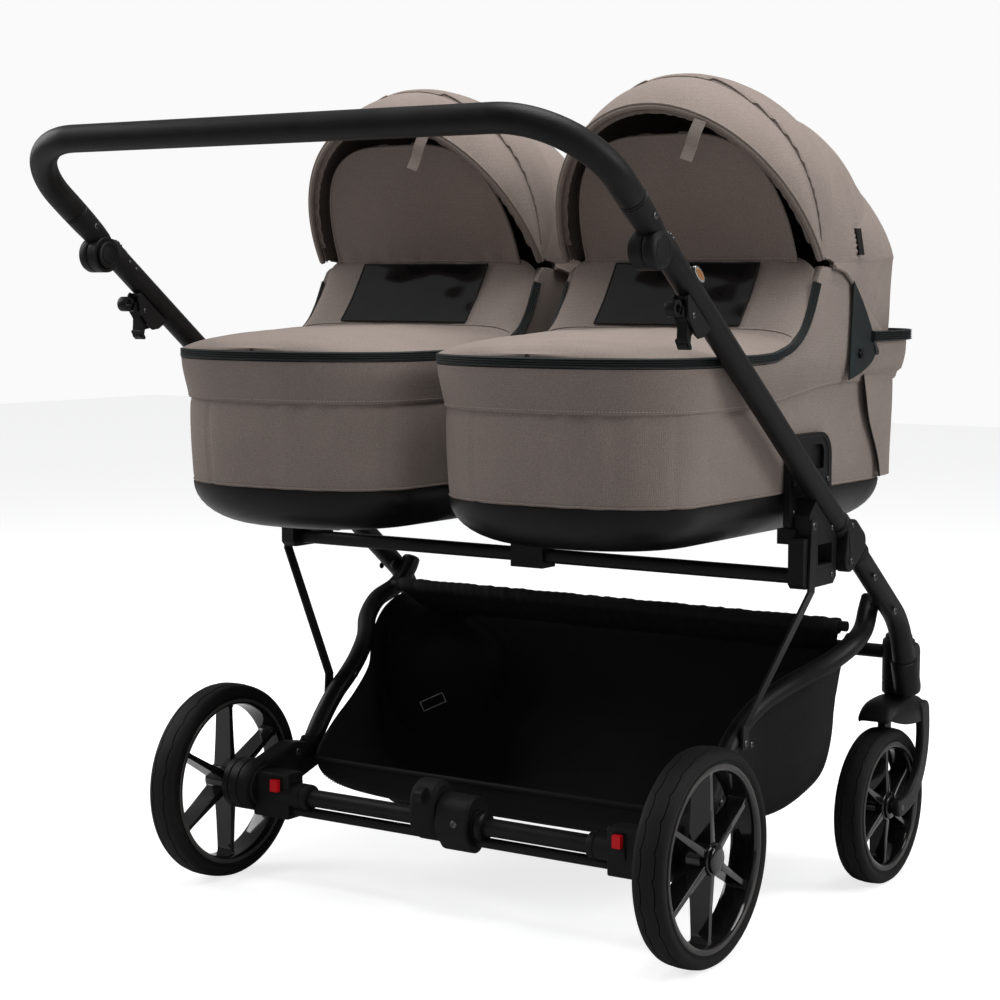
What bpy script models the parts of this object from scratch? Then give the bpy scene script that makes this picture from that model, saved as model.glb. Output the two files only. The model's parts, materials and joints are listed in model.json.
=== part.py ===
"""A twin pram: two carrycots side by side on one folding chassis.

Metres, +Z up, +Y is the way it is pushed, +X is the pusher's right hand.
Side views are drawn in (y, z), with y counted forward from the rear axle;
the empty called pram carries everything and centres it over the floor.
"""
import math

import bmesh
import bpy
from mathutils import Matrix, Vector

for old in list(bpy.data.objects):
    bpy.data.objects.remove(old, do_unlink=True)

# Clearances
GAP = 0.0003          # between pieces that touch
RUNNING = 0.0003      # round a pin that turns
LOOSE = 0.0015        # round the lower pin of each link, which closes the four-bar loop
THROUGH = 0.028       # how far a cutter starts beyond the piece that it goes through

# Wheels
REAR_WHEEL_R = 0.125
FRONT_WHEEL_R = 0.100
REAR_TYRE_W = 0.040
FRONT_TYRE_W = 0.0365
TYRE_DEPTH = 0.0172
RIM_WALL = 0.0090
HUB_R = 0.019
HUB_CAP = 0.0035
SPOKES = 6
SPOKE_W = 0.010
WHEEL_SIDES = 28
REAR_WHEEL_X = 0.353
FRONT_WHEEL_X = 0.3648
STUB_R = 0.006

# Side tubes, from the handle hub down to the fold joint
SLOPE = math.radians(37.7)
TUBE_X = 0.388
TUBE_R = 0.014
HUB_Y = -0.179
HUB_Z = 0.800
HUB_DROP = 0.0165     # the hub hangs this far under the tube's axis
HUB_DRUM_R = 0.0213
HUB_HALF = 0.0145
TUBE_START = 0.030    # distances down the tube, from above the hub
CASTING_START = 0.5403
FOLD_SPLIT = 0.600
FOLD_AT = 0.575
FOLD_DROP = 0.032
KNUCKLE_R = 0.0125
CASTING_R = 0.0162
COLLAR_LENGTH = 0.012
PIN_R = 0.004

# Front tubes below the fold joint
BEND_AT = 0.775
BEND_RADIUS = 0.10
STEEP = math.radians(71.5)
BELOW_BEND = 0.0887
SWIVEL_Y = 0.497
HOUSING_R = 0.021
HOUSING_LOW = 0.2375
HOUSING_HIGH = 0.309
SOCKET_R = 0.0170
CROSS_TUBE_R = 0.009
CROSS_TUBE_Z = 0.290
STEM_R = 0.008

# Front forks
TRAIL = 0.053
CROWN_TOP = 0.2365
FORK_PLATE = 0.011
FORK_GAP = 0.0032     # between tyre and fork leg
FORK_PIN_R = 0.005

# Rear frame
LEG_R = 0.0125
LEG_PIVOT = (0.392, 0.364)
LEG_TOP_X = TUBE_X - TUBE_R - LEG_R - GAP
LEG_BEND_X = 0.3685   # where the leg passes the basket's front bar
AXLE_TUBE_R = 0.011
AXLE_TUBE_Z = 0.119
AXLE_TUBE_HALF = 0.258
BRAKE_ROD_R = 0.0065
BRAKE_ROD_Z = 0.0995
BRAKE_ROD_HALF = 0.250
BOX_IN = 0.236        # the box of the wheel release, on the drum's inner side
BOX_BACK = -0.0136
BOX_FRONT = 0.018
BOX_TOP = 0.147
DRUM_R = 0.033
DRUM_IN = 0.290
DRUM_OUT = 0.331
SLEEVE_IN = 0.208
SLEEVE_R = 0.0165
BRAKE_LEFT = -0.038
BRAKE_SPLIT = 0.0
BRAKE_RIGHT = 0.061
BRAKE_R = 0.027
BRAKE_CORE_R = 0.0165
BUTTON_X = 0.2536
BUTTON_Z = 0.1322
BUTTON_W = 0.011
BUTTON_H = 0.015
BUTTON_OUT = 0.008
BUTTON_TRAVEL = 0.0025

# Seat brackets, upper cross bar and centre mount
BRACKET_IN = 0.372
BRACKET_T = 0.020
BRACKET_OUT = BRACKET_IN + BRACKET_T
BRACKET_BACK = 0.1655
BRACKET_FRONT = 0.2522
BRACKET_LOW = 0.411
WINDOW = (0.203, 0.240, 0.436, 0.4605)
SEAT_Z = 0.480        # top of the ledges that the carrycots sit on
SEAT_BACK = 0.176
SEAT_FRONT = 0.250
BAR_Y = 0.190
BAR_Z = 0.4235
BAR_DEEP = 0.020
BAR_HIGH = 0.0177
MOUNT_HALF = 0.024
LEDGE_HALF = 0.045

# Links of the four-bar fold
LINK_TOP = (0.1866, 0.4842)
LINK_FOOT = (0.170, 0.221)
LINK_FOOT_X = 0.3146  # its inner face beside the rear leg
LINK_W = 0.015
LINK_T = 0.003
LINK_PIN_R = 0.0025

# Handle
GRIP_R = 0.0158
GRIP_SEAM = 0.0632    # from the hub, up along the tube's line
GRIP_REACH = 0.189
GRIP_CORNER = 0.100
CAP_R = 0.0165
CAP_OUT = 0.0015
CAP_TRAVEL = 0.004

# Triggers under the side tubes
TRIGGER_PIN = (0.0969, -0.0279)   # down the tube, off its axis
TRIGGER_RING = (0.0728, -0.0357)
TRIGGER_TIP = (0.1130, -0.0526)
TRIGGER_HALF = 0.0100
LEVER_HALF = 0.0062
TRIGGER_PIN_R = 0.0025
TRIGGER_BORE_R = 0.0045

# Carrycots
COT_X = 0.197
TRAY_LOW = 0.468
TRAY_TOP = 0.520
TRAY_HALF = 0.162
TRAY_INSET = 0.060
TRAY_WALL = 0.004
TRAY_PARTS = (1.0, 0.94, 0.72, 0.40, 0.0)
COT_FOOT = -0.112
COT_HEAD = 0.515
HEAD_LEAN = 0.045     # the head end reaches this much further at the rim
BAND_HALF = 0.1645
RIM_HALF = 0.1735
COT_WALL = 0.012
COT_FLOOR = 0.016
FOOT_RIM = 0.683
HEAD_RIM = 0.702
HINGE_Y = 0.240
HINGE_Z = 0.785
LATCH_BACK = 0.171
LATCH_FRONT = 0.280
LATCH_TOP = 0.590
LATCH_T = 0.0093
LATCH_ROUND = 0.028
LATCH_CORNER = 0.006
APRON_CREASE = (0.1775, 0.712)
PANEL_BASE = (0.2380, 0.794)
PANEL_HEIGHT = 0.161
PANEL_HALF = 0.149
PANEL_LEAN = math.radians(22)
CLOTH = 0.006
HOOD_HALF = 0.1735
HOOD_SKIN = 0.005
BOW_R = 0.0042
BOW_ANGLE = math.radians(121.4)
HOOD_KEYS = ((121.4, 0.2168), (98.6, 0.2266), (80.0, 0.2336), (62.0, 0.2585),
             (45.0, 0.290), (22.0, 0.310), (2.0, 0.322))

# Basket
BASKET_BAR_Y = 0.365
BASKET_BAR_Z = 0.340
BASKET_BAR_R = 0.0065
BASKET_BAR_HALF = LEG_BEND_X - LEG_R - 0.0022
BASKET_SLEEVE = BASKET_BAR_HALF - 0.0108
BASKET_CURTAIN = BASKET_SLEEVE + 0.0035   # reaches into the side walls
BASKET_SKIN = 0.004
BASKET_END_SLANT = 1.6    # how much thicker the slanting end walls are, measured along y
CASTOR_CLEAR = 0.004      # between the basket and the castors' sweep

# Where the rear axle lies, so that the pram's box is centred on the origin
ALONG = Vector((0, math.cos(SLOPE), -math.sin(SLOPE)))
NORMAL = Vector((0, math.sin(SLOPE), math.cos(SLOPE)))
HUB = Vector((0, HUB_Y, HUB_Z))
HANDLE_BACK = HUB_Y + HUB_DROP * NORMAL.y - GRIP_REACH * ALONG.y - GRIP_R
COT_FRONT = COT_HEAD + HEAD_LEAN
REAR_AXLE_Y = -(HANDLE_BACK + COT_FRONT) / 2

MATT_BLACK = (0.020, 0.019, 0.018)
SATIN_BLACK = (0.028, 0.027, 0.027)
GLOSS_BLACK = (0.008, 0.008, 0.008)
RUBBER_BLACK = (0.014, 0.013, 0.013)
CLOTH_BLACK = (0.010, 0.009, 0.010)
TAUPE = (0.205, 0.168, 0.147)
RED = (0.60, 0.005, 0.012)

pram = bpy.data.objects.new("pram", None)
bpy.context.scene.collection.objects.link(pram)
pram.location = (0, REAR_AXLE_Y, 0)


# Meshes

def mesh_of(points, faces):
    mesh = bpy.data.meshes.new("shape")
    mesh.from_pydata([tuple(p) for p in points], [], faces)
    shape = bmesh.new()
    shape.from_mesh(mesh)
    bmesh.ops.recalc_face_normals(shape, faces=shape.faces)
    shape.to_mesh(mesh)
    shape.free()
    return mesh


def loft(rings):
    """Joins rings of equally many points, and closes both ends."""
    count = len(rings[0])
    points = [p for ring in rings for p in ring]
    faces = [list(range(count)), list(range(len(points) - count, len(points)))]
    for k in range(len(rings) - 1):
        for i in range(count):
            j = (i + 1) % count
            faces.append([k * count + i, k * count + j, (k + 1) * count + j, (k + 1) * count + i])
    return mesh_of(points, faces)


def shell(outer, inner):
    """A closed skin between two equal grids of points, joined along their four edges."""
    rows, columns = len(outer), len(outer[0])
    points = [p for row in outer for p in row] + [p for row in inner for p in row]
    under = rows * columns
    faces = []
    for r in range(rows - 1):
        for c in range(columns - 1):
            a = r * columns + c
            quad = [a, a + 1, a + 1 + columns, a + columns]
            faces.append(quad)
            faces.append([under + i for i in reversed(quad)])
    edge = [c for c in range(columns)]
    edge += [r * columns + columns - 1 for r in range(1, rows)]
    edge += [(rows - 1) * columns + c for c in range(columns - 2, -1, -1)]
    edge += [r * columns for r in range(rows - 2, 0, -1)]
    for a, b in zip(edge, edge[1:] + edge[:1]):
        faces.append([a, b, under + b, under + a])
    return mesh_of(points, faces)


def prism(outline, x_low, x_high):
    """An outline in (y, z), from x_low to x_high."""
    return loft([[Vector((x, y, z)) for y, z in outline] for x in (x_low, x_high)])


def block(x_low, x_high, y_low, y_high, z_low, z_high):
    return prism([(y_low, z_low), (y_high, z_low), (y_high, z_high), (y_low, z_high)], x_low, x_high)


def slab(discs, x_low, x_high, sides=16):
    """The plate that a belt round some discs (y, z, radius) would enclose."""
    shape = bmesh.new()
    for y, z, radius in discs:
        for i in range(sides):
            turn = 2 * math.pi * i / sides
            for x in (x_low, x_high):
                shape.verts.new((x, y + radius * math.cos(turn), z + radius * math.sin(turn)))
    hull = bmesh.ops.convex_hull(shape, input=shape.verts)
    spare = [v for v in hull["geom_interior"] if isinstance(v, bmesh.types.BMVert)]
    bmesh.ops.delete(shape, geom=spare, context="VERTS")
    bmesh.ops.dissolve_limit(shape, angle_limit=math.radians(1), verts=shape.verts, edges=shape.edges)
    mesh = bpy.data.meshes.new("slab")
    shape.to_mesh(mesh)
    shape.free()
    return mesh


def belt(stops, end_steps=4):
    """An outline in (y, z) round a bent strap whose stops are (y, z, radius), with round ends."""
    path = [Vector((y, z)) for y, z, _ in stops]
    radii = [r for _, _, r in stops]
    left, right = [], []
    for i, point in enumerate(path):
        before, after = path[max(i - 1, 0)], path[min(i + 1, len(path) - 1)]
        way = (after - before).normalized()
        side = Vector((-way.y, way.x)) * radii[i]
        left.append(point + side)
        right.append(point - side)

    def cap(centre, start, radius):
        angle = math.atan2(start.y - centre.y, start.x - centre.x)
        turns = [angle - math.pi * k / end_steps for k in range(1, end_steps)]
        return [centre + radius * Vector((math.cos(t), math.sin(t))) for t in turns]
    far = cap(path[-1], left[-1], radii[-1])
    near = cap(path[0], right[0], radii[0])
    return [tuple(p) for p in left + far + right[::-1] + near]


def disc(radius, sides=12):
    return [(radius * math.cos(2 * math.pi * i / sides), radius * math.sin(2 * math.pi * i / sides))
            for i in range(sides)]


def sweep(path, section, reference):
    """Carries a section along a path; its first axis leans towards the reference."""
    path = [Vector(p) for p in path]
    rings = []
    for i, point in enumerate(path):
        before = path[max(i - 1, 0)]
        after = path[min(i + 1, len(path) - 1)]
        tangent = (after - before).normalized()
        across = (Vector(reference) - tangent * tangent.dot(Vector(reference))).normalized()
        other = tangent.cross(across)
        rings.append([point + across * a + other * b for a, b in section])
    return loft(rings)


def rod(start, end, radius, sides=12):
    start, end = Vector(start), Vector(end)
    reference = (0, 0, 1) if abs((end - start).normalized().z) < 0.9 else (1, 0, 0)
    return sweep([start, end], disc(radius, sides), reference)


def turned(profile, y, z, sides=WHEEL_SIDES):
    """A ring turned round an axis along X; the profile is a closed loop of (x, radius)."""
    rings = []
    for i in range(sides):
        turn = 2 * math.pi * i / sides - math.pi / 2
        rings.append([Vector((x, y + r * math.cos(turn), z + r * math.sin(turn))) for x, r in profile])
    count = len(profile)
    faces = []
    for k in range(sides):
        n = (k + 1) % sides
        for i in range(count):
            j = (i + 1) % count
            faces.append([k * count + i, k * count + j, n * count + j, n * count + i])
    return mesh_of([p for ring in rings for p in ring], faces)


def rounded(corner, before, after, radius, steps=6):
    """The arc that rounds one corner of a path."""
    corner, before, after = Vector(corner), Vector(before), Vector(after)
    back = (before - corner).normalized()
    on = (after - corner).normalized()
    half = back.angle(on) / 2
    centre = corner + (back + on).normalized() * (radius / math.sin(half))
    start = corner + back * (radius / math.tan(half))
    end = corner + on * (radius / math.tan(half))
    arc = []
    for k in range(steps + 1):
        spoke = (start - centre).slerp(end - centre, k / steps)
        arc.append(centre + spoke.normalized() * radius)
    return arc


def combine(base, tools, operation):
    holder = bpy.data.objects.new("base", base)
    bpy.context.scene.collection.objects.link(holder)
    helpers = [holder]
    for tool in tools:
        helper = bpy.data.objects.new("tool", tool)
        bpy.context.scene.collection.objects.link(helper)
        helpers.append(helper)
        step = holder.modifiers.new("step", "BOOLEAN")
        step.operation = operation
        step.solver = "EXACT"
        step.object = helper
    graph = bpy.context.evaluated_depsgraph_get()
    result = bpy.data.meshes.new_from_object(holder.evaluated_get(graph))
    for helper in helpers:
        bpy.data.objects.remove(helper, do_unlink=True)
    return result


def union(base, *others):
    return combine(base, others, "UNION")


def cut(base, *others):
    return combine(base, others, "DIFFERENCE")


def mirrored(mesh):
    copy = mesh.copy()
    copy.transform(Matrix.Scale(-1, 4, (1, 0, 0)))
    copy.flip_normals()
    return copy


def paint(name, colour, roughness, metallic=0.0):
    material = bpy.data.materials.new(name)
    material.use_nodes = True
    shader = material.node_tree.nodes["Principled BSDF"]
    shader.inputs["Base Color"].default_value = (*colour, 1)
    shader.inputs["Roughness"].default_value = roughness
    shader.inputs["Metallic"].default_value = metallic
    material.diffuse_color = (*colour, 1)
    return material


def piece(name, mesh, pivot, colour=MATT_BLACK, roughness=0.5, metallic=0.0):
    """One sub-part, with its origin on the axis that it turns about."""
    mesh = mesh.copy()
    mesh.name = name
    mesh.transform(Matrix.Translation(-Vector(pivot)))
    mesh.materials.clear()
    mesh.materials.append(paint(name, colour, roughness, metallic))
    mesh.shade_smooth()
    mesh.set_sharp_from_angle(angle=math.radians(35))
    made = bpy.data.objects.new(name, mesh)
    bpy.context.scene.collection.objects.link(made)
    made.parent = pram
    made.location = pivot
    return made


def pair(name, mesh, pivot, **look):
    """The right-hand piece and its mirror image on the left."""
    x, y, z = pivot
    piece(name + "_R", mesh, (x, y, z), **look)
    piece(name + "_L", mirrored(mesh), (-x, y, z), **look)


# Places along the side tubes

def on_tube(down, off=0.0):
    """(y, z) at a distance down the tube's axis, and off it along the upward normal."""
    point = HUB + HUB_DROP * NORMAL + down * ALONG + off * NORMAL
    return point.y, point.z


def tube_point(down, off=0.0, x=TUBE_X):
    y, z = on_tube(down, off)
    return Vector((x, y, z))


def tube_block(down_a, down_b, off_a, off_b, x_low, x_high):
    corners = [(down_a, off_a), (down_b, off_a), (down_b, off_b), (down_a, off_b)]
    return prism([on_tube(*c) for c in corners], x_low, x_high)


FOLD = tube_point(FOLD_AT, -FOLD_DROP)
BEND = tube_point(BEND_AT)
FRONT_TUBE_END = BEND + BELOW_BEND * Vector((0, math.cos(STEEP), -math.sin(STEEP)))


# Chassis: the front tubes, their joints and the castor housings

def front_tube():
    top = tube_point(FOLD_SPLIT + COLLAR_LENGTH + GAP)
    path = [top] + rounded(BEND, top, FRONT_TUBE_END, BEND_RADIUS) + [FRONT_TUBE_END]
    tube = sweep(path, disc(TUBE_R, 16), (1, 0, 0))
    y, z = LEG_PIVOT
    pin = rod((TUBE_X - 0.002, y, z), (LEG_TOP_X - LEG_R - 0.0015, y, z), PIN_R)
    return union(tube, pin)


def lower_joint():
    split = FOLD_SPLIT + GAP
    end = FOLD_SPLIT + COLLAR_LENGTH
    collar = rod(tube_point(split), tube_point(end), CASTING_R, 20)
    y, z = on_tube(FOLD_SPLIT + 0.0155, -0.004)
    plate = slab([(FOLD.y, FOLD.z, KNUCKLE_R), (y, z, 0.0135)], BRACKET_IN, TUBE_X - 2 * GAP)
    sides = (TUBE_X - THROUGH, TUBE_X + THROUGH)
    above = tube_block(FOLD_SPLIT - 0.08, split, -CASTING_R - 2 * GAP, 0.06, *sides)
    beyond = tube_block(end, end + 0.05, -0.06, 0.06, *sides)
    plate = cut(plate, above, beyond)
    pin = rod((BRACKET_IN + 0.004, FOLD.y, FOLD.z), (TUBE_X + HUB_HALF, FOLD.y, FOLD.z), PIN_R)
    return union(collar, plate, pin)


def front_housing():
    x, y = FRONT_WHEEL_X, SWIVEL_Y
    body = rod((x, y, HOUSING_LOW), (x, y, HOUSING_HIGH), HOUSING_R, 20)
    cap = rod((x, y, HOUSING_HIGH - 0.002), (x, y, HOUSING_HIGH + 0.006), HOUSING_R - 0.004, 20)
    down = (FRONT_TUBE_END - BEND).normalized()
    socket = rod(FRONT_TUBE_END - down * 0.034, FRONT_TUBE_END + down * 0.010, SOCKET_R, 16)
    tube_bore = rod(FRONT_TUBE_END - down * 0.06, FRONT_TUBE_END + down * GAP, TUBE_R + GAP, 16)
    stem_bore = rod((x, y, HOUSING_LOW - 0.01), (x, y, CROSS_TUBE_Z - 0.016), STEM_R + RUNNING)
    cross_bore = rod((x - 0.012, y, CROSS_TUBE_Z), (x - 0.04, y, CROSS_TUBE_Z), CROSS_TUBE_R + GAP)
    return cut(union(body, cap, socket), tube_bore, stem_bore, cross_bore)


def front_cross_tube():
    half = FRONT_WHEEL_X - 0.012 - GAP
    return rod((-half, SWIVEL_Y, CROSS_TUBE_Z), (half, SWIVEL_Y, CROSS_TUBE_Z), CROSS_TUBE_R)


# Upper frame: the side tubes and what they carry

def side_tube():
    return rod(tube_point(TUBE_START), tube_point(CASTING_START - GAP), TUBE_R, 16)


def upper_joint():
    body = rod(tube_point(CASTING_START), tube_point(FOLD_SPLIT - GAP), CASTING_R, 20)
    edge = FOLD_SPLIT - GAP - CASTING_R
    discs = [(FOLD.y, FOLD.z, KNUCKLE_R + 0.001)]
    discs += [(*on_tube(down), CASTING_R - 0.0004) for down in (edge - 0.022, edge)]
    plate = slab(discs, TUBE_X + GAP, TUBE_X + CASTING_R + 0.0005, 20)
    bore = rod((TUBE_X - THROUGH, FOLD.y, FOLD.z), (TUBE_X + THROUGH, FOLD.y, FOLD.z), PIN_R + RUNNING)
    return cut(union(body, plate), bore)


def seat_bracket():
    under = -TUBE_R - 2 * GAP
    def below_tube(y):
        down = (y - HUB_Y - (HUB_DROP + under) * NORMAL.y) / ALONG.y
        return on_tube(down, under)[1]
    shoulder = LINK_TOP[0] - 0.0066
    outline = [
        (BRACKET_BACK + 0.006, BRACKET_LOW), (BRACKET_FRONT - 0.008, BRACKET_LOW),
        (BRACKET_FRONT, BRACKET_LOW + 0.008), (BRACKET_FRONT, below_tube(BRACKET_FRONT)),
        (shoulder + 0.016, below_tube(shoulder + 0.016)), (shoulder, LINK_TOP[1] + 0.012),
        (shoulder, SEAT_Z - 0.010), (BRACKET_BACK, SEAT_Z - 0.010), (BRACKET_BACK, BRACKET_LOW + 0.006),
    ]
    plate = prism(outline, BRACKET_IN, BRACKET_OUT)
    opening = block(BRACKET_IN - THROUGH, BRACKET_OUT + THROUGH, *WINDOW)
    ledge = block(BRACKET_IN - 0.020, BRACKET_IN + 0.004, SEAT_BACK, SEAT_FRONT, SEAT_Z - 0.018, SEAT_Z)
    y, z = LINK_TOP
    pin_bore = rod((BRACKET_OUT - 0.012, y, z), (BRACKET_OUT + 0.01, y, z), LINK_PIN_R + RUNNING)
    casting = rod(tube_point(CASTING_START - 2 * GAP), tube_point(FOLD_SPLIT), CASTING_R + GAP, 20)
    return cut(union(plate, ledge), opening, pin_bore, casting)


def bar_section(grow=0.0):
    """The cross bar's flat oval, as (z, y) offsets."""
    high, deep = BAR_HIGH / 2 + grow, BAR_DEEP / 2 + grow
    corner = 0.005
    return [(-high, -deep + corner), (-high + corner, -deep), (high - corner, -deep), (high, -deep + corner),
            (high, deep - corner), (high - corner, deep), (-high + corner, deep), (-high, deep - corner)]


def upper_cross_bar():
    half = BRACKET_IN - GAP
    return sweep([(-half, BAR_Y, BAR_Z), (half, BAR_Y, BAR_Z)], bar_section(), (0, 0, 1))


def centre_mount():
    low, high = BAR_Z - BAR_HIGH / 2 - 0.006, BAR_Z + BAR_HIGH / 2 + 0.006
    clip = block(-MOUNT_HALF, MOUNT_HALF, BAR_Y - 0.015, BAR_Y + 0.015, low, high)
    post = block(-0.011, 0.011, SEAT_BACK + 0.004, SEAT_FRONT, high - 0.004, SEAT_Z - 0.005)
    ledge = block(-LEDGE_HALF, LEDGE_HALF, SEAT_BACK, SEAT_FRONT, SEAT_Z - 0.014, SEAT_Z)
    bore = sweep([(-0.06, BAR_Y, BAR_Z), (0.06, BAR_Y, BAR_Z)], bar_section(GAP), (0, 0, 1))
    return cut(union(clip, post, ledge), bore)


def hub_housing():
    """The outer half of the hub, with the neck that holds the side tube."""
    low, high = TUBE_X + GAP, TUBE_X + HUB_HALF
    drum = rod((low, HUB_Y, HUB_Z), (high, HUB_Y, HUB_Z), HUB_DRUM_R, 20)
    neck = rod(tube_point(0.004), tube_point(TUBE_START - GAP), TUBE_R + 0.0003, 16)
    inner_side = rod((low - THROUGH, HUB_Y, HUB_Z), (low, HUB_Y, HUB_Z), HUB_DRUM_R + 0.0006, 20)
    return cut(union(drum, neck), inner_side)


def trigger_housing():
    (pin_s, pin_n), (tip_s, _) = TRIGGER_PIN, TRIGGER_TIP
    under = -TUBE_R - GAP
    outline = [(pin_s - 0.020, under), (pin_s - 0.020, under - 0.006), (pin_s - 0.008, pin_n - 0.006),
               (pin_s + 0.006, pin_n - 0.007), (tip_s + 0.003, pin_n - 0.012), (tip_s + 0.012, pin_n - 0.010),
               (tip_s + 0.022, under - 0.004), (tip_s + 0.024, under)]
    cheeks = prism([on_tube(*p) for p in outline], TUBE_X - TRIGGER_HALF, TUBE_X + TRIGGER_HALF)
    slot = tube_block(pin_s - 0.05, tip_s + 0.012, -0.08, under - 0.0045,
                      TUBE_X - LEVER_HALF - GAP, TUBE_X + LEVER_HALF + GAP)
    y, z = on_tube(*TRIGGER_PIN)
    reach = TRIGGER_HALF - 0.001
    pin = rod((TUBE_X - reach, y, z), (TUBE_X + reach, y, z), TRIGGER_PIN_R)
    return union(cut(cheeks, slot), pin)


def trigger_lever():
    pin, ring, tip = (on_tube(*p) for p in (TRIGGER_PIN, TRIGGER_RING, TRIGGER_TIP))
    low, high = TUBE_X - LEVER_HALF, TUBE_X + LEVER_HALF
    body = prism(belt([(*ring, 0.0090), (*pin, 0.0066), (*tip, 0.0042)]), low, high)
    bores = [rod((low - THROUGH, *at), (high + THROUGH, *at), radius, 8)
             for at, radius in ((pin, TRIGGER_PIN_R + RUNNING), (ring, TRIGGER_BORE_R))]
    return cut(body, *bores)


# Handle

def grip_point(up, x):
    """A point of the handle's plane, above the hub along the tubes' line."""
    point = HUB + HUB_DROP * NORMAL - up * ALONG
    return Vector((x, point.y, point.z))


def handle_grip():
    start, corner = grip_point(GRIP_SEAM, TUBE_X), grip_point(GRIP_REACH, TUBE_X)
    middle = grip_point(GRIP_REACH, 0)
    right = [start] + rounded(corner, start, middle, GRIP_CORNER, 7)
    left = [Vector((-p.x, p.y, p.z)) for p in reversed(right)]
    return sweep(right + left, disc(GRIP_R), NORMAL)


def handle_collar():
    """The inner half of the hub, with the neck that holds the grip."""
    low, high = TUBE_X - HUB_HALF, TUBE_X - GAP
    drum = rod((low, HUB_Y, HUB_Z), (high, HUB_Y, HUB_Z), HUB_DRUM_R, 20)
    path = [grip_point(up, TUBE_X) for up in (0.006, 0.030, GRIP_SEAM - GAP)]
    neck = loft([[p + (NORMAL * b + Vector((a, 0, 0))) for a, b in disc(r, 16)]
                 for p, r in zip(path, (GRIP_R - 0.003, GRIP_R - 0.0012, GRIP_R))])
    outer_side = rod((high, HUB_Y, HUB_Z), (high + THROUGH, HUB_Y, HUB_Z), HUB_DRUM_R + 0.0006, 20)
    pocket = rod((low - 0.01, HUB_Y, HUB_Z), (low + CAP_TRAVEL + 0.003, HUB_Y, HUB_Z), CAP_R + RUNNING, 20)
    return cut(union(drum, neck), outer_side, pocket)


def hub_button():
    low = TUBE_X - HUB_HALF
    return rod((low - CAP_OUT - CAP_TRAVEL + 0.001, HUB_Y, HUB_Z), (low + 0.0025, HUB_Y, HUB_Z), CAP_R, 20)


# Rear frame

LEG_PATH = (
    (LEG_TOP_X, 0.402, 0.380), (LEG_TOP_X, 0.390, 0.368), (LEG_BEND_X, 0.361, 0.340), (0.369, 0.333, 0.320),
    (0.354, 0.305, 0.300), (0.328, 0.267, 0.280), (0.309, 0.226, 0.260), (0.3015, 0.193, 0.240),
    (0.300, 0.164, 0.220), (0.300, 0.135, 0.190), (0.300, 0.113, 0.160), (0.300, 0.104, 0.147),
)


def rear_leg():
    tube = sweep(LEG_PATH, disc(LEG_R, 12), (1, 0, 0))
    y, z = LEG_PIVOT
    bore = rod((LEG_TOP_X - THROUGH, y, z), (LEG_TOP_X + THROUGH, y, z), PIN_R + RUNNING)
    y, z = LINK_FOOT
    slot = rod((LINK_FOOT_X - 0.0106, y, z), (LINK_FOOT_X + THROUGH, y, z), LINK_PIN_R + LOOSE)
    return cut(tube, bore, slot)


def axle_housing():
    foot = Vector(LEG_PATH[-1])
    rise = (Vector(LEG_PATH[-2]) - foot).normalized()
    axle_z = REAR_WHEEL_R
    drum = rod((DRUM_IN, 0, axle_z), (DRUM_OUT, 0, axle_z), DRUM_R, 24)
    arm = slab([(0, axle_z, 0.026), (0.066, 0.146, 0.024), (foot.y, foot.z, 0.0165)], 0.286, 0.314)
    sleeve = rod(foot - rise * 0.004, foot + rise * 0.020, LEG_R + 0.0035, 16)
    box = block(BOX_IN, DRUM_IN + 0.004, BOX_BACK, BOX_FRONT, BRAKE_ROD_Z - 0.011, BOX_TOP)
    neck = rod((SLEEVE_IN, 0, AXLE_TUBE_Z), (AXLE_TUBE_HALF + 0.004, 0, AXLE_TUBE_Z), SLEEVE_R, 16)
    stub = rod((DRUM_OUT - 0.004, 0, axle_z), (REAR_WHEEL_X + 0.014, 0, axle_z), STUB_R)
    leg_bore = rod(foot - rise * GAP, foot + rise * 0.05, LEG_R + GAP)
    clear = SLEEVE_IN - THROUGH
    tube_bore = rod((clear, 0, AXLE_TUBE_Z), (AXLE_TUBE_HALF + GAP, 0, AXLE_TUBE_Z), AXLE_TUBE_R + GAP)
    rod_bore = rod((clear, 0, BRAKE_ROD_Z), (BRAKE_ROD_HALF + GAP, 0, BRAKE_ROD_Z), BRAKE_ROD_R + GAP)
    half_w, half_h = BUTTON_W / 2 + GAP, BUTTON_H / 2 + GAP
    pocket = block(BUTTON_X - half_w, BUTTON_X + half_w, BOX_BACK - THROUGH, BOX_BACK + BUTTON_TRAVEL + 0.001,
                   BUTTON_Z - half_h, BUTTON_Z + half_h)
    whole = union(drum, arm, sleeve, box, neck, stub)
    return cut(whole, leg_bore, tube_bore, rod_bore, pocket)


def red_button():
    return block(BUTTON_X - BUTTON_W / 2, BUTTON_X + BUTTON_W / 2, BOX_BACK - BUTTON_OUT, BOX_BACK + 0.0009,
                 BUTTON_Z - BUTTON_H / 2, BUTTON_Z + BUTTON_H / 2)


def level_rod(half, z, radius):
    return rod((-half, 0, z), (half, 0, z), radius)


def brake_core():
    return rod((BRAKE_LEFT, 0, AXLE_TUBE_Z), (BRAKE_SPLIT + 0.004, 0, AXLE_TUBE_Z), BRAKE_CORE_R, 20)


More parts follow.
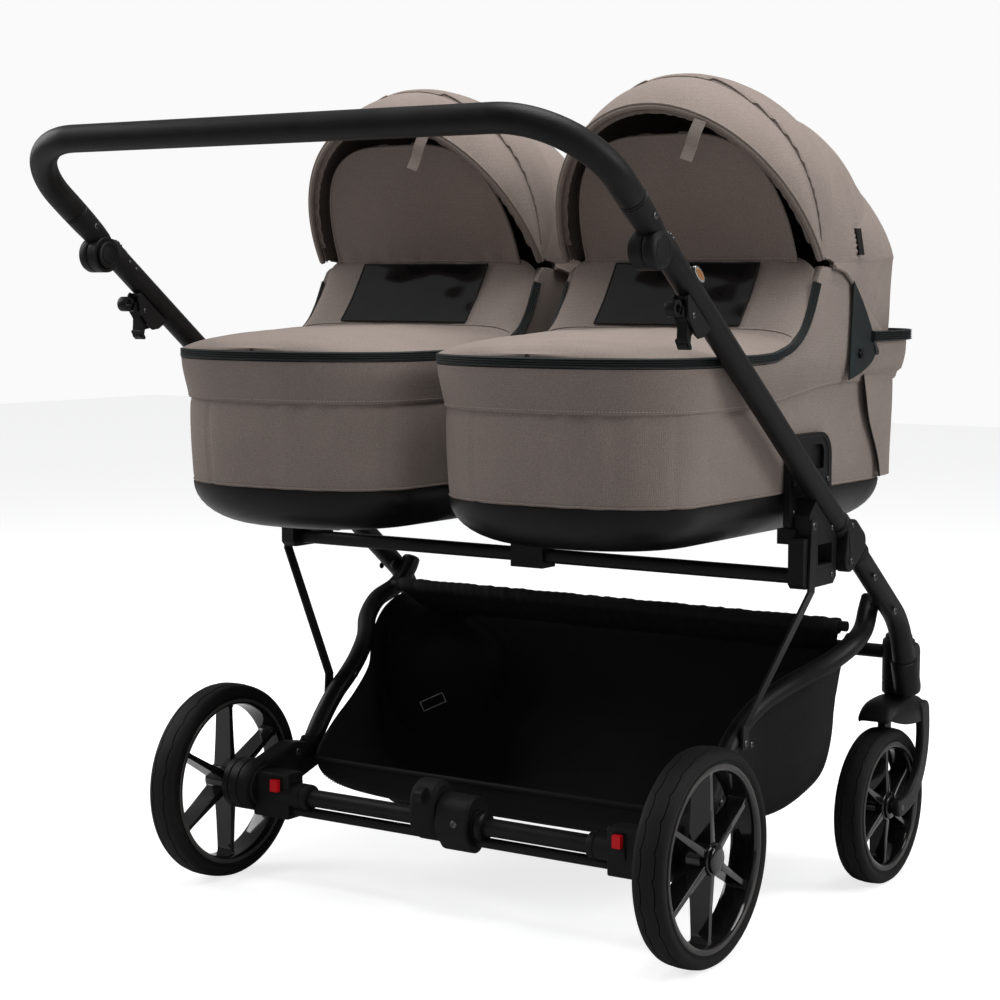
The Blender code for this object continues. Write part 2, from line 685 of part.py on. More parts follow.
def brake_housing():
    right = slab([(0, AXLE_TUBE_Z, BRAKE_R), (0, AXLE_TUBE_Z + 0.012, BRAKE_R - 0.003),
                  (0, BRAKE_ROD_Z, 0.015)],
                 BRAKE_SPLIT, BRAKE_RIGHT - 0.012)
    flange = rod((BRAKE_RIGHT - 0.016, 0, AXLE_TUBE_Z), (BRAKE_RIGHT, 0, AXLE_TUBE_Z), 0.0185, 20)
    foot = slab([(0, BRAKE_ROD_Z + 0.001, 0.012)], BRAKE_LEFT, BRAKE_SPLIT + 0.004, 12)
    left_end, right_end = BRAKE_LEFT - THROUGH, BRAKE_RIGHT + THROUGH
    tube_bore = rod((left_end, 0, AXLE_TUBE_Z), (right_end, 0, AXLE_TUBE_Z), AXLE_TUBE_R + GAP)
    rod_bore = rod((left_end, 0, BRAKE_ROD_Z), (right_end, 0, BRAKE_ROD_Z), BRAKE_ROD_R + GAP)
    return cut(union(right, flange, brake_core(), foot), tube_bore, rod_bore)


def brake_pedal():
    """A saddle that rides on the brake housing's left half and lifts to a foot rest."""
    low, high = BRAKE_LEFT + 0.001, BRAKE_SPLIT - GAP
    saddle = slab([(0, AXLE_TUBE_Z, BRAKE_R - 0.0005), (-0.003, AXLE_TUBE_Z + 0.034, 0.0165)], low, high, 20)
    left_end, right_end = low - THROUGH, high + THROUGH
    bore = rod((left_end, 0, AXLE_TUBE_Z), (right_end, 0, AXLE_TUBE_Z), BRAKE_CORE_R + RUNNING, 20)
    mouth_low = AXLE_TUBE_Z - BRAKE_R - THROUGH
    mouth = block(left_end, right_end, -2 * BRAKE_R, 2 * BRAKE_R, mouth_low, AXLE_TUBE_Z - 0.0035)
    return cut(saddle, bore, mouth)


def basket_front_bar():
    y, z = BASKET_BAR_Y, BASKET_BAR_Z
    return rod((-BASKET_BAR_HALF, y, z), (BASKET_BAR_HALF, y, z), BASKET_BAR_R)


def basket_section(y, half, low, high, inset=0.0):
    """A hanging U of cloth at one place, closed across its top."""
    points = []
    for k in range(13):
        turn = math.pi * k / 12
        x = math.copysign(abs(math.cos(turn)) ** 0.55, math.cos(turn)) * (half - inset)
        points.append(Vector((x, y, high - (high - low - inset) * math.sin(turn) ** 0.55)))
    return points


# Stations of the basket's cloth: y, half width, bottom and rim
BASKET_STATIONS = (
    (0.078, 0.262, 0.124, 0.152), (0.100, 0.272, 0.104, 0.163), (0.140, 0.281, 0.095, 0.186),
    (0.190, 0.286, 0.088, 0.215), (0.235, 0.296, 0.083, 0.243), (0.270, 0.318, 0.082, 0.262),
    (0.305, 0.340, 0.086, 0.282), (0.345, 0.351, 0.100, 0.308), (0.385, 0.345, 0.122, 0.324),
    (0.420, 0.328, 0.152, 0.316), (0.449, 0.304, 0.196, 0.300),
)


def castor_sweep(side, clearance):
    """The drum of space that a castor needs when it swivels all the way round."""
    reach = math.hypot(TRAIL + FRONT_WHEEL_R, FRONT_TYRE_W / 2) + clearance
    x = side * FRONT_WHEEL_X
    return rod((x, SWIVEL_Y, 0), (x, SWIVEL_Y, CROWN_TOP + clearance), reach, 28)


def basket_tub(inset):
    """The basket's cloth as a solid, with both front corners scooped out for the castors."""
    rings = []
    middle = (BASKET_STATIONS[0][0] + BASKET_STATIONS[-1][0]) / 2
    for y, half, low, high in BASKET_STATIONS:
        y += math.copysign(inset * BASKET_END_SLANT, middle - y)
        ring = basket_section(y, half, low, high, inset)
        if inset:
            ring[0].z += BASKET_SKIN * 5
            ring[-1].z += BASKET_SKIN * 5
        rings.append(ring)
    return cut(loft(rings), *(castor_sweep(side, CASTOR_CLEAR + inset) for side in (-1, 1)))


def basket():
    y, z = BASKET_BAR_Y, BASKET_BAR_Z
    sleeve = rod((-BASKET_SLEEVE, y, z), (BASKET_SLEEVE, y, z), BASKET_BAR_R + BASKET_SKIN)
    curtain = block(-BASKET_CURTAIN, BASKET_CURTAIN, y + BASKET_SKIN, y + 2 * BASKET_SKIN,
                    z - 0.040, z - 0.002)
    bore = rod((-BASKET_BAR_HALF, y, z), (BASKET_BAR_HALF, y, z), BASKET_BAR_R + GAP)
    return cut(union(cut(basket_tub(0), basket_tub(BASKET_SKIN)), sleeve, curtain), bore)


def link():
    low_x = LINK_FOOT_X + LINK_T / 2
    high_x = BRACKET_OUT + 0.0006 + LINK_T / 2
    (foot_y, foot_z), (top_y, top_z) = LINK_FOOT, LINK_TOP
    lean = (top_y - foot_y) / (top_z - foot_z)
    bends = ((low_x, foot_z - LINK_W / 2), (low_x, foot_z + 0.022),
             (high_x, top_z - 0.077), (high_x, top_z + LINK_W / 2))
    path = [(x, foot_y + lean * (z - foot_z), z) for x, z in bends]
    half_t, half_w = LINK_T / 2, LINK_W / 2
    section = [(half_t, half_w), (-half_t, half_w), (-half_t, -half_w), (half_t, -half_w)]
    strap = sweep(path, section, (1, 0, 0))
    head = LINK_T / 2 + 0.001
    top_pin = rod((high_x + head, top_y, top_z), (BRACKET_OUT - 0.011, top_y, top_z), LINK_PIN_R)
    foot_pin = rod((low_x + head, foot_y, foot_z), (low_x - 0.008, foot_y, foot_z), LINK_PIN_R)
    return union(strap, top_pin, foot_pin)


# Wheels and forks

def tyre(radius, width, x, y):
    half = width / 2
    bore = radius - TYRE_DEPTH + GAP
    shoulder, tread = radius - 0.007, half - 0.008
    profile = [(-half + 0.001, bore), (-half, shoulder), (-tread, radius),
               (tread, radius), (half, shoulder), (half - 0.001, bore)]
    return turned([(x + a, r) for a, r in profile], y, radius)


def rim(radius, width, x, y, bore_r, blind):
    outside = radius - TYRE_DEPTH
    half = width / 2 - 0.002
    inside = outside - RIM_WALL
    barrel = turned([(x - half, inside), (x + half, inside), (x + half, outside), (x - half, outside)],
                    y, radius)
    ends = ((HUB_R * 0.5, SPOKE_W, half - 0.003), (inside + 0.003, SPOKE_W * 0.6, half * 0.6))
    corners = ((1, 1), (-1, 1), (-1, -1), (1, -1))
    spokes = []
    for k in range(SPOKES):
        turn = 2 * math.pi * k / SPOKES + math.pi / 2
        out = Vector((0, math.cos(turn), math.sin(turn)))
        side = Vector((0, -math.sin(turn), math.cos(turn)))
        rings = []
        for reach, wide, deep in ends:
            centre = Vector((x, y, radius)) + out * reach
            rings.append([centre + side * (a * wide / 2) + Vector((b * deep, 0, 0)) for a, b in corners])
        spokes.append(loft(rings))
    hub = rod((x - half - 0.001, y, radius), (x + half, y, radius), HUB_R, 20)
    cap = rod((x + half - 0.001, y, radius), (x + half + HUB_CAP, y, radius), HUB_R - 0.004, 20)
    end = x + 0.015 + GAP if blind else x + half + 0.02
    bore = rod((x - half - 0.02, y, radius), (end, y, radius), bore_r + RUNNING)
    whole = union(barrel, hub, *spokes)
    if blind:
        whole = union(whole, cap)
    return cut(whole, bore)


FORK_OUT = FRONT_TYRE_W / 2 + FORK_GAP


def fork():
    x, axle_y, axle_z = FRONT_WHEEL_X, SWIVEL_Y - TRAIL, FRONT_WHEEL_R
    reach = FORK_OUT + FORK_PLATE
    behind = [(-0.040, 0.026), (-0.058, 0.020), (-0.066, 0.020), (-0.052, 0.007), (-0.020, 0)]
    ahead = [(0.012, 0), (0.024, 0.006), (0.029, 0.030), (0.010, 0.030)]
    outline = [(axle_y + along, CROWN_TOP - drop) for along, drop in behind]
    outline += [(SWIVEL_Y + along, CROWN_TOP - drop) for along, drop in ahead]
    outline.append((axle_y, CROWN_TOP - 0.028))
    crown = prism(outline, x - reach + 0.003, x + reach - 0.003)
    leg = belt([(axle_y, axle_z, 0.0115), (SWIVEL_Y - 0.012, axle_z + 0.016, 0.0115),
                (SWIVEL_Y + 0.008, axle_z + 0.036, 0.0110), (SWIVEL_Y + 0.017, axle_z + 0.070, 0.0110),
                (SWIVEL_Y + 0.014, CROWN_TOP - 0.013, 0.0125)])
    parts = []
    for side in (-1, 1):
        a, b = x + side * FORK_OUT, x + side * reach
        parts.append(prism(leg, min(a, b), max(a, b)))
    pin = rod((x - reach + 0.002, axle_y, axle_z), (x + reach - 0.002, axle_y, axle_z), FORK_PIN_R)
    stem = rod((x, SWIVEL_Y, CROWN_TOP - 0.01), (x, SWIVEL_Y, CROSS_TUBE_Z - 0.018), STEM_R)
    return union(crown, *parts, pin, stem)


# Carrycots, drawn about their own centre line x = 0

def rim_height(y):
    """The height of the fabric tub's rim: low at the foot, up to the hood's hinge, low round the head."""
    keys = ((COT_FOOT - 1, FOOT_RIM), (0.110, FOOT_RIM), (0.168, FOOT_RIM + 0.010),
            (0.2055, FOOT_RIM + 0.034), (0.228, HINGE_Z - 0.030), (HINGE_Y, HINGE_Z),
            (0.300, HINGE_Z - 0.006), (0.345, HINGE_Z - 0.036), (0.385, HEAD_RIM + 0.004),
            (0.400, HEAD_RIM), (COT_HEAD + 1, HEAD_RIM))
    for (y0, z0), (y1, z1) in zip(keys, keys[1:]):
        if y0 <= y <= y1:
            return z0 + (z1 - z0) * (y - y0) / (y1 - y0)
    return HEAD_RIM


def superellipse(turn, power):
    return (math.copysign(abs(math.sin(turn)) ** (2 / power), math.sin(turn)),
            math.copysign(abs(math.cos(turn)) ** (2 / power), math.cos(turn)))


SIDE_STATIONS = (0.110, 0.168, 0.2055, 0.228, 0.240, 0.300, 0.345, 0.385)


def plan(half, foot, head, stations=SIDE_STATIONS, foot_depth=0.10, head_depth=0.11, quarter=5):
    """A carrycot's outline seen from above: a rounded foot, straight sides and a fuller head."""
    right = []
    for k in range(quarter + 1):
        x, y = superellipse(math.pi / 2 * k / quarter, 2.3)
        right.append((half * x, foot + foot_depth * (1 - y)))
    right += [(half, y) for y in stations]
    for k in range(quarter, -1, -1):
        x, y = superellipse(math.pi / 2 * k / quarter, 2.6)
        right.append((half * x, head - head_depth * (1 - y)))
    left = [(-x, y) for x, y in reversed(right[1:-1])]
    return right + left


def cot_ring(half, foot, head, height, stations=SIDE_STATIONS):
    return [Vector((x, y, height(y) if callable(height) else height))
            for x, y in plan(half, foot, head, stations)]


def head_at(z):
    return COT_HEAD + HEAD_LEAN * min(max((z - TRAY_TOP) / (HEAD_RIM - TRAY_TOP), 0), 1)


def tray_rings(wall, parts):
    """Level rings of the bowl-shaped tray; its flat bottom is at part 1 and its rim at part 0."""
    rings = []
    depth = TRAY_TOP - TRAY_LOW - wall
    for part in parts:
        inset = wall + TRAY_INSET * (1 - math.sqrt(1 - part * part))
        foot, head = COT_FOOT + inset, COT_HEAD - inset
        rings.append(cot_ring(TRAY_HALF - inset, foot, head, TRAY_TOP - depth * part, ()))
    return rings


def cot_tray():
    tub = loft(tray_rings(0, TRAY_PARTS) + tray_rings(TRAY_WALL, TRAY_PARTS[::-2]))
    parts = []
    for side in (-1, 1):
        out = BAND_HALF + 0.0005
        a, b = side * out, side * (out + LATCH_T)
        low, high = min(a, b), max(a, b)
        middle = (LATCH_BACK + LATCH_FRONT) / 2
        top, bottom = LATCH_TOP - LATCH_ROUND, SEAT_Z + LATCH_CORNER + GAP
        plate = slab([(middle - 0.026, top, LATCH_ROUND), (middle + 0.026, top, LATCH_ROUND),
                      (LATCH_BACK + LATCH_CORNER, bottom, LATCH_CORNER),
                      (LATCH_FRONT - LATCH_CORNER, bottom, LATCH_CORNER)], low, high)
        a, b = side * (TRAY_HALF - 0.026), side * (out + 0.001)
        web = block(min(a, b), max(a, b), SEAT_BACK + 0.008, SEAT_FRONT + 0.012, SEAT_Z + GAP, TRAY_TOP - GAP)
        a, b = side * (out + 0.004), side * (out + THROUGH)
        window = block(min(a, b), max(a, b), middle + 0.002, middle + 0.032,
                       LATCH_TOP - 0.036, LATCH_TOP - 0.014)
        parts.append(union(cut(plate, window), web))
    return union(tub, *parts)


def cot_body():
    """The fabric tub with its floor; the hood end of its rim rises to the hinge."""
    head = COT_FRONT
    rows = ((TRAY_TOP + GAP, TRAY_HALF, COT_FOOT), (0.620, BAND_HALF, COT_FOOT - 0.002),
            (0.660, BAND_HALF + 0.003, COT_FOOT - 0.004), (None, RIM_HALF, COT_FOOT - 0.006))
    outer = [cot_ring(half, foot, head_at(z) if z else head, z if z else rim_height)
             for z, half, foot in rows]
    inner = [cot_ring(half - COT_WALL, foot + COT_WALL, (head_at(z) if z else head) - COT_WALL,
                      z if z else rim_height) for z, half, foot in rows[1:]]
    floor = cot_ring(TRAY_HALF - COT_WALL, COT_FOOT + COT_WALL, COT_HEAD - COT_WALL,
                     TRAY_TOP + COT_FLOOR)
    return loft(outer + inner[::-1] + [floor])


def panel_point(up, x):
    y = PANEL_BASE[0] - up * math.sin(PANEL_LEAN)
    z = PANEL_BASE[1] + up * math.cos(PANEL_LEAN)
    return Vector((x, y, z))


def cot_apron():
    """The zipped cover: a domed apron, a slope with a window, and a wind panel that stands up."""
    across = [math.sin(math.pi / 2 * k / 4) for k in range(-4, 5)]
    top = []
    foot = COT_FOOT - 0.005
    for k in range(1, 6):
        x, y = superellipse(math.pi / 2 * k / 5, 2.3)
        top.append((foot + 0.10 * (1 - y), (RIM_HALF - 0.001) * x))
    top += [(0.060, RIM_HALF - 0.001), (0.110, RIM_HALF - 0.001), (0.168, RIM_HALF - 0.001)]
    rows = []
    for y, half in top:
        edge = rim_height(y) + 2 * GAP + CLOTH
        along = (y - foot) / (APRON_CREASE[0] - foot)
        crown = 0.004 + 0.020 * math.sin(min(along, 1) * math.pi * 0.62)
        rows.append([Vector((half * a, y, edge + crown * (1 - abs(a) ** 2.4))) for a in across])
    low_edge = RIM_HALF - COT_WALL - 0.004
    slope = (APRON_CREASE, (0.205, 0.747), (PANEL_BASE[0] - 0.006, PANEL_BASE[1] - 0.006))
    for k, (y, z) in enumerate(slope):
        rows.append([Vector((low_edge * a * (1 - 0.02 * k), y + 0.004 * k, z - 0.006 * abs(a) ** 3 + 0.006))
                     for a in across])
    for k in range(6):
        turn = math.pi / 2 * k / 5.5
        half = PANEL_HALF * math.cos(turn) ** 0.55
        up = PANEL_HEIGHT * math.sin(turn) ** 0.9
        rows.append([panel_point(0.006 + up * (1 - 0.12 * abs(a) ** 3), half * a) for a in across])
    under = []
    for i, row in enumerate(rows):
        before, after = rows[max(i - 1, 0)][4], rows[min(i + 1, len(rows) - 1)][4]
        tangent = (after - before).normalized()
        normal = Vector((1, 0, 0)).cross(tangent).normalized()
        under.append([p - normal * CLOTH for p in row])
    return shell(rows, under)


def hood_reach(angle):
    keys = [(math.radians(a), r) for a, r in HOOD_KEYS]
    for (a0, r0), (a1, r1) in zip(keys, keys[1:]):
        if a1 <= angle <= a0:
            return r0 + (r1 - r0) * (a0 - angle) / (a0 - a1)
    return keys[-1][1]


def hood_arch(angle, inset=0.0, columns=12, power=2.5):
    reach, half = hood_reach(angle) - inset, HOOD_HALF - inset
    arch = []
    for k in range(columns + 1):
        turn = math.radians(82) * (2 * k / columns - 1)
        x, out = superellipse(turn, power)
        arch.append(Vector((half * x, HINGE_Y + reach * out * math.cos(angle),
                            HINGE_Z + 0.004 + reach * out * math.sin(angle))))
    return arch


def hood_hem(inset=0.0, columns=12):
    """The lowest edge of the hood, just above the tub's rim round the head."""
    hem = []
    half, head = RIM_HALF - inset, COT_FRONT - inset
    for k in range(columns + 1):
        turn = math.radians(82) * (2 * k / columns - 1)
        x, out = superellipse(turn, 2.9)
        y = HINGE_Y + 0.004 + (head - HINGE_Y - 0.004) * out
        hem.append(Vector((half * x, y, rim_height(y) + 0.003)))
    return hem


def cot_hood():
    angles = [math.radians(a) for a, _ in HOOD_KEYS]
    outer = [hood_arch(a) for a in angles] + [hood_hem()]
    inner = [hood_arch(a, HOOD_SKIN) for a in angles] + [hood_hem(HOOD_SKIN)]
    return shell(outer, inner)


def hood_bow():
    """The sprung arch in the hood's front hem, hinged at both ends."""
    off = Vector((0, -math.sin(BOW_ANGLE), math.cos(BOW_ANGLE))) * (BOW_R + 2 * GAP)
    arch = [p + off for p in hood_arch(BOW_ANGLE)]
    return sweep(arch, disc(BOW_R, 8), (0, -math.sin(BOW_ANGLE), math.cos(BOW_ANGLE)))


def carrycot(side, sign):
    shift = Matrix.Translation((sign * COT_X, 0, 0))
    seat = (sign * COT_X, (SEAT_BACK + SEAT_FRONT) / 2, SEAT_Z)
    hinge = (sign * COT_X, HINGE_Y, HINGE_Z + 0.004)
    for name, mesh, pivot, colour, roughness in (
            ("cot_tray", cot_tray(), seat, SATIN_BLACK, 0.45),
            ("cot_body", cot_body(), seat, TAUPE, 0.9),
            ("cot_apron", cot_apron(), seat, TAUPE, 0.9),
            ("cot_hood", cot_hood(), seat, TAUPE, 0.9),
            ("hood_bow", hood_bow(), hinge, TAUPE, 0.85)):
        mesh.transform(shift)
        piece(name + "_" + side, mesh, pivot, colour=colour, roughness=roughness)


# The pram

FOLD_PIVOT = (FOLD.x, FOLD.y, FOLD.z)
HUB_PIVOT = (TUBE_X, HUB_Y, HUB_Z)
FRAME_PIVOT = (0, FOLD.y, FOLD.z)
REAR_PIVOT = (0, *LEG_PIVOT)

pair("front_tube", front_tube(), FOLD_PIVOT, metallic=0.3)
pair("lower_joint", lower_joint(), FOLD_PIVOT)
pair("front_housing", front_housing(), (FRONT_WHEEL_X, SWIVEL_Y, HOUSING_LOW))
piece("front_cross_tube", front_cross_tube(), (0, SWIVEL_Y, CROSS_TUBE_Z), metallic=0.3)

pair("side_tube", side_tube(), FOLD_PIVOT, metallic=0.3)
pair("upper_joint", upper_joint(), FOLD_PIVOT)
pair("seat_bracket", seat_bracket(), FOLD_PIVOT)
piece("upper_cross_bar", upper_cross_bar(), FRAME_PIVOT, metallic=0.3)
piece("centre_mount", centre_mount(), FRAME_PIVOT)
pair("hub_housing", hub_housing(), HUB_PIVOT)
pair("trigger_housing", trigger_housing(), tube_point(*TRIGGER_PIN))
pair("trigger_lever", trigger_lever(), tube_point(*TRIGGER_PIN))

piece("handle_grip", handle_grip(), (0, HUB_Y, HUB_Z), roughness=0.65)
pair("handle_collar", handle_collar(), HUB_PIVOT)
pair("hub_button", hub_button(), HUB_PIVOT)

pair("rear_leg", rear_leg(), (LEG_TOP_X, *LEG_PIVOT), metallic=0.3)
pair("axle_housing", axle_housing(), (REAR_WHEEL_X, 0, REAR_WHEEL_R))
piece("rear_axle_tube", level_rod(AXLE_TUBE_HALF, AXLE_TUBE_Z, AXLE_TUBE_R), REAR_PIVOT, metallic=0.3)
piece("brake_rod", level_rod(BRAKE_ROD_HALF, BRAKE_ROD_Z, BRAKE_ROD_R), REAR_PIVOT, metallic=0.3)
piece("brake_housing", brake_housing(), REAR_PIVOT)
piece("brake_pedal", brake_pedal(), (0, 0, AXLE_TUBE_Z))
pair("red_button", red_button(), (BUTTON_X, BOX_BACK, BUTTON_Z), colour=RED, roughness=0.35)
piece("basket_front_bar", basket_front_bar(), REAR_PIVOT, metallic=0.3)
piece("basket", basket(), REAR_PIVOT, colour=CLOTH_BLACK, roughness=0.95)
pair("link", link(), (TUBE_X, *LINK_TOP), metallic=0.3)

rubber = {"colour": RUBBER_BLACK, "roughness": 0.75}
gloss = {"colour": GLOSS_BLACK, "roughness": 0.15}
REAR_AXLE = (REAR_WHEEL_X, 0, REAR_WHEEL_R)
pair("rear_tyre", tyre(REAR_WHEEL_R, REAR_TYRE_W, REAR_WHEEL_X, 0), REAR_AXLE, **rubber)
pair("rear_rim", rim(REAR_WHEEL_R, REAR_TYRE_W, REAR_WHEEL_X, 0, STUB_R, True), REAR_AXLE, **gloss)
x, y, _ = FRONT_AXLE = (FRONT_WHEEL_X, SWIVEL_Y - TRAIL, FRONT_WHEEL_R)
pair("front_tyre", tyre(FRONT_WHEEL_R, FRONT_TYRE_W, x, y), FRONT_AXLE, **rubber)
pair("front_rim", rim(FRONT_WHEEL_R, FRONT_TYRE_W, x, y, FORK_PIN_R, False), FRONT_AXLE, **gloss)
pair("fork", fork(), (FRONT_WHEEL_X, SWIVEL_Y, CROWN_TOP))

carrycot("L", -1)
carrycot("R", 1)
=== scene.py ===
"""The dressed twin pram: what the eye sees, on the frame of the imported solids.

Metres, +Z up, +Y is the way it is pushed. Pieces are drawn about the rear axle, with y
counted forward from it, and `add` shifts them to where the axle lies in the frame.
"""
import json
from math import atan2, copysign, cos, exp, hypot, pi, radians, sin, sqrt, tan

import bmesh
import bpy
from mathutils import Matrix, Vector, noise

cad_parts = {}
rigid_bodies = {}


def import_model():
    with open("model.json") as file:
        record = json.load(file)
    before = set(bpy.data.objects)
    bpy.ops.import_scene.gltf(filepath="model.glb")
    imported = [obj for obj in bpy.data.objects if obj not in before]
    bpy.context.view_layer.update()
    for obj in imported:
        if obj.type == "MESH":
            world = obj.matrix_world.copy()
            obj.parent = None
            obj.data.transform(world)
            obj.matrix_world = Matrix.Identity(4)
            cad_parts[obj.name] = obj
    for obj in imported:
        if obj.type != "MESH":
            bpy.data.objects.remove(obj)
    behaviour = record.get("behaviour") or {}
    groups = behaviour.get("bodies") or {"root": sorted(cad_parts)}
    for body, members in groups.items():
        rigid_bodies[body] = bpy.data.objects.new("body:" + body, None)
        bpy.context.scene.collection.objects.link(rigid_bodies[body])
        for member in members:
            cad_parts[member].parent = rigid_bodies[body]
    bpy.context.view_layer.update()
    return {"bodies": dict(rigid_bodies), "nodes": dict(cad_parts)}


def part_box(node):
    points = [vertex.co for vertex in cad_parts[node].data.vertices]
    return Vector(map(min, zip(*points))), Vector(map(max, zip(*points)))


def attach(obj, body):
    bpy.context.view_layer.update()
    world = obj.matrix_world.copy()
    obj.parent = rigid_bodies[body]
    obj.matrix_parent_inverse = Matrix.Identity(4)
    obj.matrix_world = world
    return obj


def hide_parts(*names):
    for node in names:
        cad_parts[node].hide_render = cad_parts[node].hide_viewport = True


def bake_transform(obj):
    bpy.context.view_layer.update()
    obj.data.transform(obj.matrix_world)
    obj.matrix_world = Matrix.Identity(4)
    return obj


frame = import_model()
scene = bpy.context.scene

axle_low, axle_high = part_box("rear_axle_tube")
AXLE_Y = (axle_low[1] + axle_high[1]) / 2
SHIFT = Matrix.Translation((0, AXLE_Y, 0))


# Camera, as solved from the photograph

camera = bpy.data.objects.new("camera", bpy.data.cameras.new("camera"))
scene.collection.objects.link(camera)
CAMERA_DOWN, CAMERA_ROUND = 5.566, 34.315
camera.location = (1.5564, -2.277, 0.768)
camera.rotation_euler = (radians(90 - CAMERA_DOWN), 0, radians(CAMERA_ROUND))
camera.data.lens = 80.75
camera.data.sensor_width = 36
scene.camera = camera


# Materials

THREAD_DEPTH = 0.00018
MOULDED_SHINE, WOVEN_SHINE = 0.16, 0.25


def feed(tree, node, inputs):
    """Sets inputs of a node: each takes a value or another node's output."""
    for name, value in inputs.items():
        if isinstance(value, bpy.types.NodeSocket):
            tree.links.new(value, node.inputs[name])
        else:
            node.inputs[name].default_value = value


def node_in(tree, kind, inputs, output, **settings):
    """Makes a node and gives back one of its outputs."""
    node = tree.nodes.new("ShaderNode" + kind)
    for name, value in settings.items():
        setattr(node, name, value)
    feed(tree, node, inputs)
    return node.outputs[output]


def material_of(name):
    made = bpy.data.materials.new(name)
    made.use_nodes = True
    return made, made.node_tree, made.node_tree.nodes["Principled BSDF"]


def specks(tree, scale, detail, roughness=0.55):
    place = node_in(tree, "TexCoord", {}, "Object")
    return node_in(tree, "TexNoise", {"Vector": place, "Scale": scale, "Detail": detail,
                                      "Roughness": roughness}, "Fac")


def ramp(tree, value, low, high):
    """Spreads the middle of a noise over low..high."""
    return node_in(tree, "MapRange", {"Value": value, "From Min": 0.3, "From Max": 0.7,
                                      "To Min": low, "To Max": high}, "Result")


def tone_of(tree, value, dark, light):
    return node_in(tree, "Mix", {"Factor": value, "A": (*dark, 1), "B": (*light, 1)}, "Result",
                   data_type="RGBA")


def bump(tree, shader, height, distance, strength=1.0, under=None):
    inputs = {"Height": height, "Distance": distance, "Strength": strength}
    if under:
        inputs["Normal"] = under
    normal = node_in(tree, "Bump", inputs, "Normal")
    feed(tree, shader, {"Normal": normal})
    return normal


def moulded(name, colour, roughness, grain, grain_scale, coat=0.0, metallic=0.0, spread=0.25):
    """Paint, plastic or rubber: slow changes of tone and gloss, and a fine grain."""
    made, tree, shader = material_of(name)
    slow = specks(tree, 22, 4)
    dark, light = (tuple(c * (1 + way * spread) for c in colour) for way in (-1, 1))
    feed(tree, shader, {"Base Color": tone_of(tree, ramp(tree, slow, 0, 1), dark, light),
                        "Roughness": ramp(tree, slow, roughness - 0.05, roughness + 0.05),
                        "Metallic": metallic, "Specular IOR Level": MOULDED_SHINE,
                        "Coat Weight": coat, "Coat Roughness": 0.06})
    bump(tree, shader, specks(tree, grain_scale, 2), grain)
    return made


def woven(name, dark, light, thread=1150.0, sheen=0.25, roughness=0.88, mottle=0.35):
    """Cloth of two tones of thread: crossed threads, flecks and slow mottling."""
    made, tree, shader = material_of(name)
    place = node_in(tree, "TexCoord", {}, "Object")
    total = 0.0
    for direction in "XYZ":
        wave = node_in(tree, "TexWave", {"Vector": place, "Scale": thread / 6.3, "Distortion": 1.2,
                                         "Detail": 2, "Detail Scale": 3}, "Fac",
                       bands_direction=direction)
        total = node_in(tree, "Math", {0: wave, 1: total}, "Value", operation="ADD")
    flecks = specks(tree, 1000, 3, 0.7)
    slow = ramp(tree, specks(tree, 9, 4), -mottle / 2, mottle / 2)
    tone = node_in(tree, "Math", {0: slow, 1: 0.5, 2: ramp(tree, flecks, 0, 1)}, "Value",
                   operation="MULTIPLY_ADD")
    feed(tree, shader, {"Base Color": tone_of(tree, tone, dark, light),
                        "Roughness": ramp(tree, flecks, roughness - 0.06, roughness + 0.06),
                        "Sheen Weight": sheen, "Sheen Roughness": 0.45, "Sheen Tint": (*light, 1),
                        "Specular IOR Level": WOVEN_SHINE})
    crossing = bump(tree, shader, total, THREAD_DEPTH, 0.5)
    bump(tree, shader, flecks, THREAD_DEPTH, 0.6, crossing)
    return made


POWDER = moulded("powder_black", (0.0085, 0.008, 0.008), 0.42, 0.00006, 1700)
CAST = moulded("cast_black", (0.0075, 0.007, 0.007), 0.5, 0.00008, 1300)
PLASTIC = moulded("satin_plastic", (0.007, 0.0066, 0.0066), 0.4, 0.00003, 1600)
TRAY = moulded("tray_plastic", (0.005, 0.0047, 0.0046), 0.36, 0.00005, 1400)
GRIP = moulded("grip_leatherette", (0.008, 0.0074, 0.0072), 0.47, 0.00022, 620)
GLOSS = moulded("gloss_black", (0.006, 0.0058, 0.0058), 0.13, 0.00001, 500, coat=0.6)
LIP = moulded("rim_lip", (0.062, 0.058, 0.055), 0.36, 0.00003, 1500, metallic=0.35)
TYRE = moulded("tyre_rubber", (0.0065, 0.006, 0.0058), 0.62, 0.00022, 1100)
STEEL = moulded("dark_steel", (0.085, 0.085, 0.088), 0.34, 0.00003, 900, metallic=0.9)
RED = moulded("red_plastic", (0.62, 0.006, 0.014), 0.32, 0.00002, 900, spread=0.08)
SILVER = moulded("badge_rim", (0.62, 0.61, 0.6), 0.22, 0.00001, 700, metallic=0.9, spread=0.05)
COPPER = moulded("badge_face", (0.55, 0.25, 0.1), 0.28, 0.00002, 900, metallic=0.7, spread=0.12)
WINDOW = moulded("window_film", (0.0045, 0.0045, 0.0048), 0.07, 0.00006, 18, coat=1.0)
WING = moulded("wing_leatherette", (0.015, 0.0185, 0.0185), 0.46, 0.00016, 750)
TAUPE = woven("taupe_cloth", (0.15, 0.121, 0.106), (0.292, 0.243, 0.216))
# The taupe cloth darkened by about a quarter, as painted shade for the hood's inside, its seam lines, the
# ruffle under the front hem and the strap's stitches
TAUPE_SHADED = woven("taupe_shaded", (0.12, 0.097, 0.086), (0.22, 0.182, 0.16), sheen=0.15)
THREAD = woven("taupe_thread", (0.33, 0.285, 0.255), (0.47, 0.415, 0.375), thread=2400)
BLACK_CLOTH = woven("black_cloth", (0.0045, 0.0042, 0.0048), (0.0125, 0.0118, 0.0125), thread=1500,
                    sheen=0.12, roughness=0.8, mottle=0.5)
